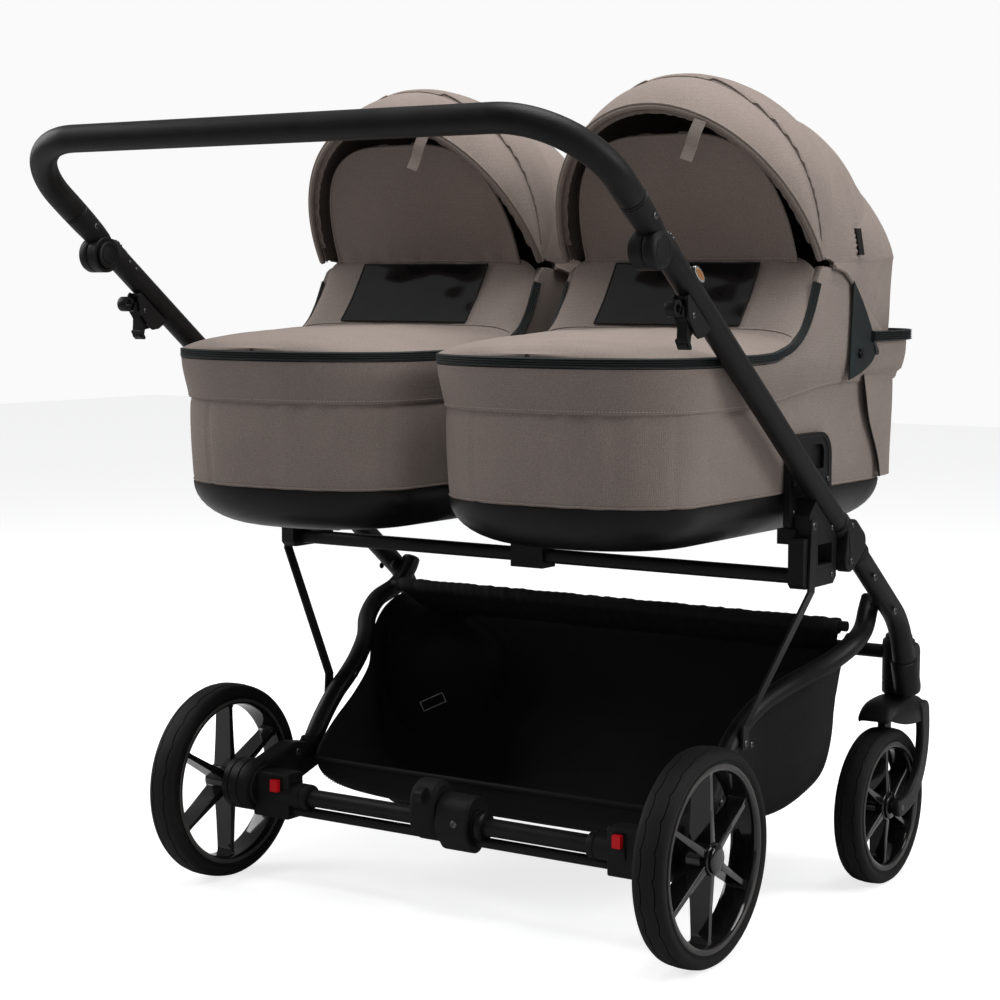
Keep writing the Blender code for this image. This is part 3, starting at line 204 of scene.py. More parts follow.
ZIP = woven("zip_tape", (0.006, 0.0085, 0.0085), (0.018, 0.022, 0.0225), thread=2100, sheen=0.1,
            roughness=0.6)
BLACK_THREAD = woven("black_thread", (0.02, 0.02, 0.021), (0.045, 0.044, 0.046), thread=2400, sheen=0.1)
WHITE_THREAD = woven("white_thread", (0.55, 0.55, 0.54), (0.8, 0.8, 0.79), thread=2400, sheen=0.1)


# Meshes

def mesh_of(points, faces):
    mesh = bpy.data.meshes.new("shape")
    mesh.from_pydata([tuple(p) for p in points], [], faces)
    shape = bmesh.new()
    shape.from_mesh(mesh)
    bmesh.ops.remove_doubles(shape, verts=shape.verts, dist=1e-6)
    bmesh.ops.recalc_face_normals(shape, faces=shape.faces)
    shape.to_mesh(mesh)
    shape.free()
    return mesh


def grid(rows, around=False, capped=False):
    """Quads between rows of equally many points; `around` closes each row on itself."""
    count = len(rows[0])
    points = [p for row in rows for p in row]
    faces = []
    for r in range(len(rows) - 1):
        for c in range(count if around else count - 1):
            d = (c + 1) % count
            faces.append([r * count + c, r * count + d, (r + 1) * count + d, (r + 1) * count + c])
    if capped:
        faces.append(list(range(count)))
        faces.append(list(range(len(points) - count, len(points))))
    return mesh_of(points, faces)


def shell(outer, inner):
    """A closed skin between two equal grids, joined along their four edges."""
    rows, columns = len(outer), len(outer[0])
    points = [p for row in outer for p in row] + [p for row in inner for p in row]
    under = rows * columns
    faces = []
    for r in range(rows - 1):
        for c in range(columns - 1):
            a = r * columns + c
            quad = [a, a + 1, a + 1 + columns, a + columns]
            faces.append(quad)
            faces.append([under + i for i in reversed(quad)])
    edge = list(range(columns))
    edge += [r * columns + columns - 1 for r in range(1, rows)]
    edge += [(rows - 1) * columns + c for c in range(columns - 2, -1, -1)]
    edge += [r * columns for r in range(rows - 2, 0, -1)]
    for a, b in zip(edge, edge[1:] + edge[:1]):
        faces.append([a, b, under + b, under + a])
    return mesh_of(points, faces)


def thick(rows, thickness):
    """A sheet with a back: each point is moved in along the sheet's own normal."""
    back = []
    for r, row in enumerate(rows):
        line = []
        for c, point in enumerate(row):
            along = rows[min(r + 1, len(rows) - 1)][c] - rows[max(r - 1, 0)][c]
            across = row[min(c + 1, len(row) - 1)] - row[max(c - 1, 0)]
            line.append(point + along.cross(across).normalized() * thickness)
        back.append(line)
    return shell(rows, back)


def joined(*meshes):
    shape = bmesh.new()
    for mesh in meshes:
        shape.from_mesh(mesh)
    whole = bpy.data.meshes.new("shape")
    shape.to_mesh(whole)
    shape.free()
    return whole


def mirrored(mesh):
    copy = mesh.copy()
    copy.transform(Matrix.Scale(-1, 4, (1, 0, 0)))
    copy.flip_normals()
    return copy


def ring_of(radius, sides):
    turns = [2 * pi * i / sides for i in range(sides)]
    return [(radius * cos(turn), radius * sin(turn)) for turn in turns]


def signed(value, power):
    """A power of the value's size, with its sign kept."""
    return copysign(abs(value) ** power, value)


def superellipse(turn, power):
    return signed(sin(turn), 2 / power), signed(cos(turn), 2 / power)


def frames(path, reference):
    """A point, its direction and two axes across it, for each point of a path."""
    path = [Vector(p) for p in path]
    reference = Vector(reference)
    made = []
    for i, point in enumerate(path):
        tangent = (path[min(i + 1, len(path) - 1)] - path[max(i - 1, 0)]).normalized()
        across = (reference - tangent * tangent.dot(reference)).normalized()
        made.append((point, tangent, across, tangent.cross(across)))
    return made


def tube(path, radius, reference=(1, 0, 0), sides=36):
    """A round tube; the radius may be one number or one for each point."""
    rings = []
    for i, (point, _, across, other) in enumerate(frames(path, reference)):
        r = radius if isinstance(radius, float) else radius[i]
        rings.append([point + across * a + other * b for a, b in ring_of(r, sides)])
    return grid(rings, True, True)


def strip(path, section, reference):
    """A section of (across, other) points carried along a path."""
    rings = [[point + across * a + other * b for a, b in section]
             for point, _, across, other in frames(path, reference)]
    return grid(rings, True, True)


def curve(points, steps=8):
    """A smooth path through the points."""
    points = [Vector(p) for p in points]
    path = []
    for i in range(len(points) - 1):
        p0, p1, p2 = points[max(i - 1, 0)], points[i], points[i + 1]
        p3 = points[min(i + 2, len(points) - 1)]
        for k in range(steps):
            t = k / steps
            path.append(0.5 * (2 * p1 + (p2 - p0) * t + (2 * p0 - 5 * p1 + 4 * p2 - p3) * t * t
                               + (3 * p1 - p0 - 3 * p2 + p3) * t * t * t))
    return path + [points[-1]]


def turned(profile, centre, axis=(1, 0, 0), steps=64, closed=False):
    """A profile of (along, radius) turned round an axis through the centre."""
    axis = Vector(axis).normalized()
    lead = Vector((0, 0, 1)) if abs(axis.z) < 0.9 else Vector((1, 0, 0))
    first = (lead - axis * axis.dot(lead)).normalized()
    second = axis.cross(first)
    points = list(profile) + ([profile[0]] if closed else [])
    rings = []
    for along, radius in points:
        middle = Vector(centre) + axis * along
        rings.append([middle + first * a + second * b for a, b in ring_of(max(radius, 1e-7), steps)])
    return grid(rings, True)


def lathe(profile, centre, axis=(1, 0, 0), steps=48):
    """A turned solid whose two ends close on the axis."""
    return turned([(profile[0][0], 0)] + list(profile) + [(profile[-1][0], 0)], centre, axis, steps)


def prism(outline, x_low, x_high):
    return grid([[Vector((x, y, z)) for y, z in outline] for x in (x_low, x_high)], True, True)


def block(x0, x1, y0, y1, z0, z1):
    return prism([(y0, z0), (y1, z0), (y1, z1), (y0, z1)], x0, x1)


def hull(discs, sides=36):
    """The outline in (y, z) of a belt round some discs (y, z, radius)."""
    points = sorted((y + a, z + b) for y, z, r in discs for a, b in ring_of(r, sides))

    def half(order):
        line = []
        for p in order:
            while len(line) > 1 and ((line[-1][0] - line[-2][0]) * (p[1] - line[-2][1])
                                     - (line[-1][1] - line[-2][1]) * (p[0] - line[-2][0])) <= 0:
                line.pop()
            line.append(p)
        return line
    return half(points)[:-1] + half(points[::-1])[:-1]


def belt(stops, steps=8, end_steps=10):
    """An outline in (y, z) round a bent strap of stops (y, z, radius), with round ends."""
    path = curve([Vector(s) for s in stops], steps)
    left, right = [], []
    for i, point in enumerate(path):
        way = path[min(i + 1, len(path) - 1)] - path[max(i - 1, 0)]
        side = Vector((-way.y, way.x)).normalized() * point.z
        left.append(Vector(point.xy) + side)
        right.append(Vector(point.xy) - side)

    def cap(centre, start):
        angle = atan2(start.y - centre.y, start.x - centre.x)
        radius = (start - Vector(centre.xy)).length
        turns = [angle - pi * k / end_steps for k in range(1, end_steps)]
        return [Vector(centre.xy) + radius * Vector((cos(t), sin(t))) for t in turns]
    outline = left + cap(path[-1], left[-1]) + right[::-1] + cap(path[0], right[0])
    return [tuple(p) for p in outline]


def rounded(corner, before, after, radius, steps=16):
    corner, before, after = Vector(corner), Vector(before), Vector(after)
    back, on = (before - corner).normalized(), (after - corner).normalized()
    half = back.angle(on) / 2
    centre = corner + (back + on).normalized() * (radius / sin(half))
    start = corner + back * (radius / tan(half)) - centre
    end = corner + on * (radius / tan(half)) - centre
    return [centre + start.slerp(end, k / steps).normalized() * radius for k in range(steps + 1)]


def evenly(path, spacing):
    """Points at equal distances along a path."""
    made = [path[0]]
    left = spacing
    for a, b in zip(path, path[1:]):
        length = (b - a).length
        at = left
        while at <= length:
            made.append(a.lerp(b, at / length))
            at += spacing
        left = at - length
    return made


def stitches(path, spacing=0.0042, share=0.62, radius=0.00042):
    """A row of short raised threads along a path."""
    marks = evenly([Vector(p) for p in path], spacing)
    shape = bmesh.new()
    for a, b in zip(marks, marks[1:]):
        if (b - a).length < spacing * 0.3:
            continue
        reference = (0, 0, 1) if abs((b - a).normalized().z) < 0.8 else (0, 1, 0)
        middle = [a.lerp(b, t * share) for t in (0, 0.25, 0.75, 1)]
        thread = tube(middle, [radius * 0.3, radius, radius, radius * 0.3], reference, 6)
        shape.from_mesh(thread)
        bpy.data.meshes.remove(thread)
    whole = bpy.data.meshes.new("stitches")
    shape.to_mesh(whole)
    shape.free()
    return whole


# Pieces

def soften(node, width):
    """Rounds a node's sharp edges."""
    edge = node.modifiers.new("edges", "BEVEL")
    edge.width = width
    edge.segments = 3
    edge.limit_method = "ANGLE"
    edge.angle_limit = radians(35)
    edge.harden_normals = True


def add(name, mesh, body, material, replaces=(), bevel=0.0, slot=None, sharp=38):
    mesh.transform(SHIFT)
    mesh.name = name
    mesh.materials.clear()
    mesh.materials.append(material)
    mesh.shade_smooth()
    mesh.set_sharp_from_angle(angle=radians(sharp))
    made = bpy.data.objects.new(name, mesh)
    scene.collection.objects.link(made)
    if bevel:
        soften(made, bevel)
    if isinstance(body, str):
        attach(made, body)
    else:
        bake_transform(made)
    if replaces:
        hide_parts(*replaces)
    return made


def both(name, mesh, body, material, replaces=(), **how):
    """A right-hand piece and its mirror image; a body with sides is named without one."""
    for side, own in (("_R", mesh), ("_L", mirrored(mesh))):
        bearer = body if body in frame["bodies"] else body + side
        add(name + side, own, bearer, material, tuple(n + side for n in replaces), **how)


def rivet(centre, axis=(1, 0, 0), radius=0.0045, height=0.0016):
    """A domed rivet with a small socket; the axis points out of the surface."""
    profile = [(-0.001, 0), (-0.001, radius), (height * 0.35, radius), (height * 0.8, radius * 0.82),
               (height, radius * 0.6), (height, radius * 0.45), (height * 0.3, radius * 0.405),
               (height * 0.3, 0)]
    return turned(profile, centre, axis, 28)


def bar(name, body, half, y, z, radius, sides, replaced):
    """A round bar straight across the pram."""
    add(name, tube([(-half, y, z), (half, y, z)], radius, (0, 0, 1), sides), body, POWDER, (replaced,),
        slot="matt_black")


# Places along the side tubes

SLOPE = radians(37.7)
ALONG = Vector((0, cos(SLOPE), -sin(SLOPE)))
NORMAL = Vector((0, sin(SLOPE), cos(SLOPE)))
TUBE_X = 0.388
TUBE_R = 0.014
HUB = Vector((TUBE_X, -0.179, 0.8))
HUB_R = 0.0213
HUB_RISE = 0.0165
AXIS = HUB + HUB_RISE * NORMAL      # where the tube's axis passes the hub
CASTING_START = 0.5403
SPLIT = 0.6


def tube_point(down, off=0.0, x=TUBE_X):
    point = AXIS + down * ALONG + off * NORMAL
    return Vector((x, point.y, point.z))


def yz(down, off=0.0):
    point = tube_point(down, off)
    return point.y, point.z


FOLD = tube_point(0.575, -0.032)


# Wheels

REAR_WHEEL, REAR_WIDTH = Vector((0.353, 0, 0.125)), 0.04
FRONT_WHEEL, FRONT_WIDTH = Vector((0.3648, 0.444, 0.1)), 0.0365
TYRE_DEPTH, RIM_DEPTH = 0.0172, 0.0094
WAVES = 12
SPOKES = 6
WHEEL_HUB_R = 0.019


def tyre(radius, width, centre):
    """A tyre with a wavy groove round each shoulder: (half width, depth, share of the wave)."""
    grow = width / REAR_WIDTH
    side = [(0.0168, 0.0172, 0), (0.0184, 0.0168, 0), (0.0189, 0.0152, 0), (0.0182, 0.0147, 0),
            (0.0182, 0.0141, 0), (0.019, 0.0136, 0), (0.0196, 0.011, 0), (0.02, 0.008, 0),
            (0.0195, 0.0054, 0), (0.0181, 0.0034, 0), (0.0157, 0.0019, 0), (0.0128, 0.001, 0.4),
            (0.0096, 0.0006, 1), (0.0094, 0.002, 1), (0.0085, 0.0022, 1), (0.0083, 0.0004, 1),
            (0.0045, 0.0001, 0.5)]
    profile = [(-x, d, w) for x, d, w in side] + [(0, 0, 0)] + side[::-1]
    steps = WAVES * 20
    rings = []
    for i in range(steps + 1):
        turn = 2 * pi * (i % steps) / steps
        swing = 0.0026 * min(1.0, abs(sin(WAVES * turn)) / 0.72)
        rings.append([centre + Vector((x * grow + swing * share, (radius - depth) * cos(turn),
                                       (radius - depth) * sin(turn))) for x, depth, share in profile])
    return grid(rings, around=True)


def rim_barrel(radius, width, centre):
    half, edge = width / 2, radius - TYRE_DEPTH
    side = [(half - 0.0016, edge - 0.0004), (half - 0.0016, edge - 0.0058),
            (half - 0.0026, edge - 0.0078), (half - 0.0052, edge - 0.009),
            (half - 0.008, edge - RIM_DEPTH)]
    profile = side + [(-x, r) for x, r in reversed(side)]
    return turned(profile, centre, steps=96, closed=True)


def rim_lip(radius, width, centre):
    half, edge = width / 2, radius - TYRE_DEPTH
    side = [(half - 0.0017, edge - 0.001), (half - 0.0008, edge - 0.0016), (half - 0.0006, edge - 0.0032),
            (half - 0.001, edge - 0.0048), (half - 0.0017, edge - 0.0054)]
    return joined(*(turned([(sign * x, r) for x, r in side], centre, steps=96, closed=True)
                    for sign in (1, -1)))


def spokes(radius, width, centre):
    """Bars from the hub to the rim: (reach, width, half depth) at stations along each."""
    half, hub, inner = width / 2 - 0.002, WHEEL_HUB_R, radius - TYRE_DEPTH - RIM_DEPTH
    stations = [(hub * 0.6, 0.0108, half - 0.0026), (hub + 0.004, 0.0098, half - 0.0036),
                (hub + (inner - hub) * 0.45, 0.008, half - 0.0052),
                (inner - 0.012, 0.0066, half * 0.66), (inner - 0.004, 0.0074, half * 0.64),
                (inner + 0.0012, 0.013, half * 0.66)]
    corners = [(1, 0.97), (0.86, 1), (-0.86, 1), (-1, 0.97)]
    corners += [(a, -b) for a, b in reversed(corners)]
    parts = []
    for k in range(SPOKES):
        turn = 2 * pi / SPOKES * k + pi / 2
        out = Vector((0, cos(turn), sin(turn)))
        side = Vector((0, -sin(turn), cos(turn)))
        parts.append(grid([[centre + out * reach + side * (a * wide / 2) + Vector((b * deep, 0, 0))
                            for a, b in corners] for reach, wide, deep in stations], True, True))
    return joined(*parts)


def hub_of(width, centre):
    half, r = width / 2, WHEEL_HUB_R
    return lathe([(-half - 0.0005, r - 0.003), (-half + 0.001, r - 0.001), (-half + 0.003, r),
                  (half - 0.0045, r), (half - 0.003, r - 0.0006), (half - 0.0024, r - 0.0018),
                  (half - 0.0034, r - 0.0022), (half - 0.0034, r - 0.003),
                  (half + 0.0004, r - 0.0034), (half + 0.0013, r - 0.0046),
                  (half + 0.002, r - 0.0085), (half + 0.0023, 0.004)], centre, steps=56)


for name, centre, width, hub_width in (("rear", REAR_WHEEL, REAR_WIDTH, REAR_WIDTH),
                                       ("front", FRONT_WHEEL, FRONT_WIDTH, FRONT_WIDTH - 0.003)):
    body, rim = name + "_wheel", name + "_rim"
    size = (centre.z, width, centre)
    both(name + "_tyre_tread", tyre(*size), body, TYRE, (name + "_tyre",), slot="tyre", sharp=50)
    both(rim + "_barrel", rim_barrel(*size), body, GLOSS, (rim,), slot="gloss_black")
    both(rim + "_lip", rim_lip(*size), body, LIP)
    both(rim + "_spokes", spokes(*size), body, GLOSS, bevel=0.0006, slot="gloss_black")
    both(rim + "_hub", hub_of(hub_width, centre), body, GLOSS, slot="gloss_black")


# Front forks

SWIVEL = Vector((0.3648, 0.497, 0))
CHEEK = 0.011
CHEEK_X = FRONT_WIDTH / 2 + 0.0032


def fork_crown():
    """The hooded crown: (y, half width, top, skirt) at stations from its rear lip forwards."""
    stations = [(0.421, 0.019, 0.2118, 0.2098), (0.4222, 0.0208, 0.2152, 0.2118),
                (0.426, 0.0224, 0.22, 0.2135), (0.432, 0.0242, 0.2262, 0.2118),
                (0.44, 0.0262, 0.2318, 0.2092), (0.452, 0.0284, 0.2352, 0.2062),
                (0.468, 0.03, 0.2366, 0.204), (0.49, 0.0312, 0.2368, 0.203),
                (0.51, 0.0306, 0.2356, 0.2045), (0.52, 0.0292, 0.2322, 0.2075),
                (0.526, 0.0262, 0.2262, 0.2115)]
    path = curve([s[:3] for s in stations], 4)
    lows = curve([(s[0], s[3], 0) for s in stations], 4)
    rows = []
    for (y, half, top), low in zip(path, lows):
        row = []
        for k in range(25):
            turn = pi * k / 24
            x = SWIVEL.x + half * signed(cos(turn), 0.6)
            row.append(Vector((x, y, low.y + (top - low.y) * sin(turn) ** 0.62)))
        rows.append(row)
    return thick(rows, -0.0028)


def fork_cheeks():
    outline = belt([(0.444, 0.1, 0.0118), (0.466, 0.1045, 0.0114), (0.487, 0.117, 0.0112),
                    (0.503, 0.137, 0.011), (0.513, 0.162, 0.011), (0.516, 0.19, 0.0114),
                    (0.513, 0.216, 0.0128)], 8, 12)
    return joined(*(prism(outline, SWIVEL.x + low, SWIVEL.x + low + CHEEK)
                    for low in (CHEEK_X, -CHEEK_X - CHEEK)))


def hexagon(centre, radius, low, high):
    return prism([(centre.y + y, centre.z + z) for y, z in ring_of(radius, 6)], low, high)


both("fork_crown", fork_crown(), "castor", PLASTIC, ("fork",), slot="satin_plastic")
both("fork_legs", fork_cheeks(), "castor", PLASTIC, bevel=0.003, slot="satin_plastic")
leg_face = SWIVEL.x + CHEEK_X + CHEEK
axle = joined(hexagon(FRONT_WHEEL, 0.0042, leg_face - 0.004, leg_face + 0.0006),
              lathe([(-0.032, 0.0052), (0.028, 0.0052)], FRONT_WHEEL))
both("fork_axle", axle, "castor", STEEL, bevel=0.0004)
neck = lathe([(0.233, 0.015), (0.2368, 0.0178), (0.2372, 0.0178), (0.2372, 0.0085), (0.272, 0.008)],
             SWIVEL, (0, 0, 1))
both("fork_stem", neck, "castor", PLASTIC)
seam = curve([(leg_face + 0.0001, y, z) for y, z in
              ((0.494, 0.229), (0.5, 0.22), (0.503, 0.208), (0.504, 0.196))], 6)
both("fork_seam", tube(seam, 0.00035, (1, 0, 0), 8), "castor", GLOSS)


# Castor housings, front tubes and the cross tube

BEND = tube_point(0.775)
STEEP = radians(71.5)
DOWN = Vector((0, cos(STEEP), -sin(STEEP)))
TUBE_END = BEND + 0.0887 * DOWN

housing = lathe([(0.2378, 0.0192), (0.239, 0.0206), (0.242, 0.021), (0.252, 0.021), (0.2526, 0.0204),
                 (0.2536, 0.0204), (0.2542, 0.021), (0.304, 0.021), (0.3072, 0.0203), (0.309, 0.0186),
                 (0.3092, 0.0174), (0.3128, 0.0172), (0.3148, 0.016), (0.3155, 0.012)], SWIVEL, (0, 0, 1), 56)
socket = lathe([(-0.034, 0.0155), (-0.0332, 0.0168), (-0.031, 0.0172), (0.004, 0.0172), (0.01, 0.016)],
               TUBE_END, DOWN, 48)
both("castor_housing", joined(housing, socket), "chassis", PLASTIC, ("front_housing",), slot="satin_plastic")
bridge = prism(hull([(0.497, 0.292, 0.0135), (0.497, 0.262, 0.0135), (0.478, 0.268, 0.012)]), 0.372, 0.3895)
both("housing_bridge", bridge, "chassis", PLASTIC, bevel=0.002)
top = tube_point(SPLIT + 0.0115)
path = [top] + rounded(BEND, top, TUBE_END, 0.1, 24) + [TUBE_END]
both("front_tube_bent", tube(path, TUBE_R, sides=48), "chassis", POWDER, ("front_tube",), slot="matt_black")
bar("cross_tube_front", "chassis", SWIVEL.x - 0.0115, SWIVEL.y, 0.29, 0.009, 40, "front_cross_tube")
both("front_rivets", joined(rivet((0.4018, 0.3406, 0.4082)), rivet((0.4018, 0.401, 0.3589)),
                            rivet((0.3745, 0.392, 0.364), (-1, 0, 0), 0.0052)), "chassis", STEEL)


# Fold joints

CASTING_R = 0.0163


def casting(start, end):
    """A sleeve round the side tube, with rounded ends and a groove near one of them."""
    length, r = end - start, CASTING_R
    profile = [(0, r - 0.0016), (0.0006, r - 0.0004), (0.0018, r), (length - 0.0045, r),
               (length - 0.004, r - 0.0005), (length - 0.0032, r - 0.0005), (length - 0.0028, r),
               (length - 0.0008, r), (length, r - 0.0008)]
    return lathe(profile, tube_point(start), ALONG, 56)


knuckle = prism(hull([(FOLD.y, FOLD.z, 0.0136), (*yz(0.5615), 0.0157), (*yz(0.5835), 0.0157)], 48),
                TUBE_X + 0.0003, TUBE_X + 0.0165)
upper = casting(CASTING_START, SPLIT - 0.0004)
both("upper_casting", upper, "upper_frame", CAST, ("upper_joint",), slot="matt_black")
both("upper_knuckle", knuckle, "upper_frame", CAST, bevel=0.0022, slot="matt_black")
face = belt([(*yz(0.558, -0.01), 0.0055), (*yz(0.572, -0.022), 0.0062), (FOLD.y, FOLD.z, 0.0062)], 6, 10)
both("upper_face_plate", prism(face, TUBE_X + 0.016, TUBE_X + 0.0171), "upper_frame", PLASTIC, bevel=0.0005)
both("fold_pin", joined(rivet((TUBE_X + 0.017, FOLD.y, FOLD.z), radius=0.0036),
                        rivet((TUBE_X + 0.0164, *yz(0.552, 0.004)), radius=0.003)), "upper_frame", STEEL)
lower = casting(SPLIT + 0.0004, SPLIT + 0.012)
both("lower_casting", lower, "chassis", CAST, ("lower_joint",), slot="matt_black")
knuckle = prism(hull([(FOLD.y, FOLD.z, 0.0124), (*yz(SPLIT + 0.01, -0.004), 0.011)], 48),
                0.3722, TUBE_X - 0.0004)
both("lower_knuckle", knuckle, "chassis", CAST, bevel=0.0018, slot="matt_black")


# Side tubes, hubs and triggers

both("side_tube_straight", tube([tube_point(0.026), tube_point(CASTING_START + 0.002)], TUBE_R, sides=48),
     "upper_frame", POWDER, ("side_tube",), slot="matt_black")
low = TUBE_X + 0.0004
cap = lathe([(0, HUB_R - 0.0012), (0.0008, HUB_R - 0.0002), (0.002, HUB_R), (0.01, HUB_R),
             (0.0124, HUB_R - 0.0012), (0.0139, HUB_R - 0.004), (0.0145, HUB_R - 0.0085)],
            (low, HUB.y, HUB.z), steps=64)
neck = tube([tube_point(s) for s in (0.0035, 0.008, 0.026, 0.029, 0.0297)],
            [0.0118, 0.0138, 0.01445, 0.01445, 0.0139], sides=48)
both("hub_outer", joined(cap, neck), "upper_frame", CAST, ("hub_housing",), slot="matt_black")
cap_ring = turned([(0.0141, 0.0146), (0.0147, 0.0142), (0.0147, 0.0136), (0.0141, 0.0132)],
                  (low, HUB.y, HUB.z), steps=64, closed=True)
both("hub_ring", cap_ring, "upper_frame", PLASTIC)


def honeycomb():
    """Small hexagons set in the top of the tube's casting."""
    parts = []
    for row in range(3):
        for column in range(5 - row % 2):
            across = (column - 2 + 0.5 * (row % 2)) * 0.0039
            centre = tube_point(0.0105 + row * 0.0034, 0.0139 - across ** 2 / 0.026, TUBE_X + across)
            parts.append(turned([(0, 0.0018), (0.001, 0.0016), (0.001, 0.0009), (0.0002, 0.0008)],
                                centre, NORMAL, 6))
    return joined(*parts)


both("hub_honeycomb", honeycomb(), "upper_frame", GLOSS)
pin_profile = [(0, 0.0022), (0.0016, 0.0021), (0.0021, 0.0012)]
pins = [lathe(pin_profile, (TUBE_X - 0.0138, *yz(down, 0.001)), (-1, 0, 0), 20) for down in (0.036, 0.05)]
both("tube_pins", joined(*pins), "upper_frame", STEEL)

BADGE = Vector((TUBE_X + 0.0142, -0.1033, 0.7756))
BADGE_LONG, BADGE_WIDE = 0.0125, 0.0052
oval = [(BADGE.y + BADGE_LONG * a * ALONG.y - BADGE_WIDE * b * ALONG.z,
         BADGE.z + BADGE_LONG * a * ALONG.z + BADGE_WIDE * b * ALONG.y) for a, b in ring_of(1.0, 40)]
inner_oval = [(BADGE.y + (y - BADGE.y) * 0.74, BADGE.z + (z - BADGE.z) * 0.7) for y, z in oval]
add("badge_rim", prism(oval, BADGE.x - 0.003, BADGE.x + 0.0004), "upper_frame", SILVER, bevel=0.0005)
add("badge_face", prism(inner_oval, BADGE.x, BADGE.x + 0.0009), "upper_frame", COPPER, bevel=0.0003)

PIN, RING, TIP = (0.0969, -0.0279), (0.0728, -0.0357), (0.113, -0.0526)
UNDER = -TUBE_R - 0.0002
PLATE_IN, PLATE_OUT = 0.0066, 0.0101


def slab(outline, low, high):
    """A prism round the side tube's own plane."""
    return prism(outline, TUBE_X + low, TUBE_X + high)


(pin, pin_off), (tip, tip_off) = PIN, TIP
cheek = [(pin - 0.02, UNDER), (pin - 0.0205, UNDER - 0.005), (pin - 0.014, UNDER - 0.012),
         (pin - 0.006, pin_off - 0.006), (pin + 0.004, pin_off - 0.0085),
         (tip + 0.002, pin_off - 0.0115), (tip + 0.01, pin_off - 0.01),
         (tip + 0.017, pin_off - 0.003), (tip + 0.022, UNDER - 0.005), (tip + 0.024, UNDER)]
outline = [yz(*p) for p in cheek]
web = [yz(*p) for p in ((pin - 0.019, UNDER - 0.0005), (tip + 0.023, UNDER - 0.0005),
                        (tip + 0.02, UNDER - 0.0042), (pin - 0.016, UNDER - 0.0042))]
housing = joined(slab(outline, PLATE_IN, PLATE_OUT), slab(outline, -PLATE_OUT, -PLATE_IN),
                 slab(web, -0.0068, 0.0068))
both("trigger_cheeks", housing, "upper_frame", CAST, ("trigger_housing",), bevel=0.001,
     slot="satin_plastic")
pins = joined(rivet((TUBE_X + PLATE_OUT, *yz(pin + 0.001, pin_off + 0.002)), radius=0.0034, height=0.0011),
              rivet((TUBE_X - PLATE_OUT, *yz(*PIN)), (-1, 0, 0), 0.0034, 0.0011))
both("trigger_rivet", pins, "upper_frame", STEEL)


def trigger():
    """The lever: a ring for the finger, an arm and a flat foot, with the ring's hole left open."""
    ring, ring_off = RING
    half = 0.0061
    arm = belt([(*yz(ring + 0.0075, ring_off + 0.0015), 0.0048), (*yz(*PIN), 0.0064), (*yz(*TIP), 0.0041)])
    foot = belt([(*yz(tip - 0.004, tip_off + 0.0015), 0.0025),
                 (*yz(tip + 0.0045, tip_off - 0.0012), 0.0022)])
    loop = [(-half, 0.0088), (-0.0055, 0.0091), (0.0055, 0.0091), (half, 0.0088), (half, 0.0052),
            (0.0055, 0.0047), (-0.0055, 0.0047), (-half, 0.0052)]
    return joined(slab(arm, -half, half), turned(loop, (TUBE_X, *yz(*RING)), steps=40, closed=True),
                  slab(foot, -0.0075, 0.0075))


both("trigger_lever_ring", trigger(), "lever", PLASTIC, ("trigger_lever",), bevel=0.0007,
     slot="satin_plastic")


# Handle

GRIP_R = 0.0158


def grip_point(up, x=TUBE_X):
    return tube_point(-up, 0.0, x)


start, corner, middle = grip_point(0.0632), grip_point(0.189), grip_point(0.189, 0)
right = [start, grip_point(0.065)] + rounded(corner, start, middle, 0.1, 28)
path = right + [Vector((-p.x, p.y, p.z)) for p in reversed(right)]
radii = [0.015] + [GRIP_R] * (len(path) - 2) + [0.015]
add("handle_sleeve", tube(path, radii, NORMAL, 48), "handle", GRIP, ("handle_grip",), slot="grip")
seam = [point + other * GRIP_R for point, _, _, other in frames(path, NORMAL)[2:-2]]
add("handle_seam", tube(seam, 0.00045, NORMAL, 8), "handle", GRIP)

low = TUBE_X - 0.0145
drum = lathe([(0.007, 0.0168), (0.0004, 0.0168), (0, HUB_R - 0.001), (0.0007, HUB_R), (0.0128, HUB_R),
              (0.0141, HUB_R - 0.0012)], (low, HUB.y, HUB.z), steps=64)
stations = ((-0.002, 0.0105), (0.006, 0.0126), (0.02, 0.0142), (0.04, 0.0152), (0.059, 0.0157),
            (0.0595, 0.015), (0.061, 0.015), (0.0615, 0.0157), (0.0628, 0.0155))
neck = tube([grip_point(up) for up, _ in stations], [r for _, r in stations], sides=48)
both("handle_neck", joined(drum, neck), "handle", CAST, ("handle_collar",), slot="matt_black")
screw = [lathe([(-0.001, 0.004), (0.001, 0.004), (0.0014, 0.0034), (0.0014, 0.0022), (0.0004, 0.0018)],
               grip_point(0.034, TUBE_X + side * 0.0144), (side, 0, 0), 28) for side in (1, -1)]
both("handle_screw", joined(*screw), "handle", STEEL)
disc = turned([(0.0068, 0), (0.0068, 0.0163), (0.0004, 0.0163), (0, 0.0155), (0, 0.0122),
               (0.0007, 0.0118), (0.0007, 0.011), (0, 0.0106), (-0.0004, 0.006), (-0.0005, 0)],
              (low - 0.0045, HUB.y, HUB.z), steps=56)
both("hub_button_disc", disc, "cap", PLASTIC, ("hub_button",), slot="satin_plastic")


# Seat brackets, links, red buttons and centre mount: the solids' own shapes with softened edges; a new oval
# cross bar and rivets

def dress(name, material, bevel):
    node = frame["nodes"][name]
    soften(node, bevel)
    node.data.materials.clear()
    node.data.materials.append(material)


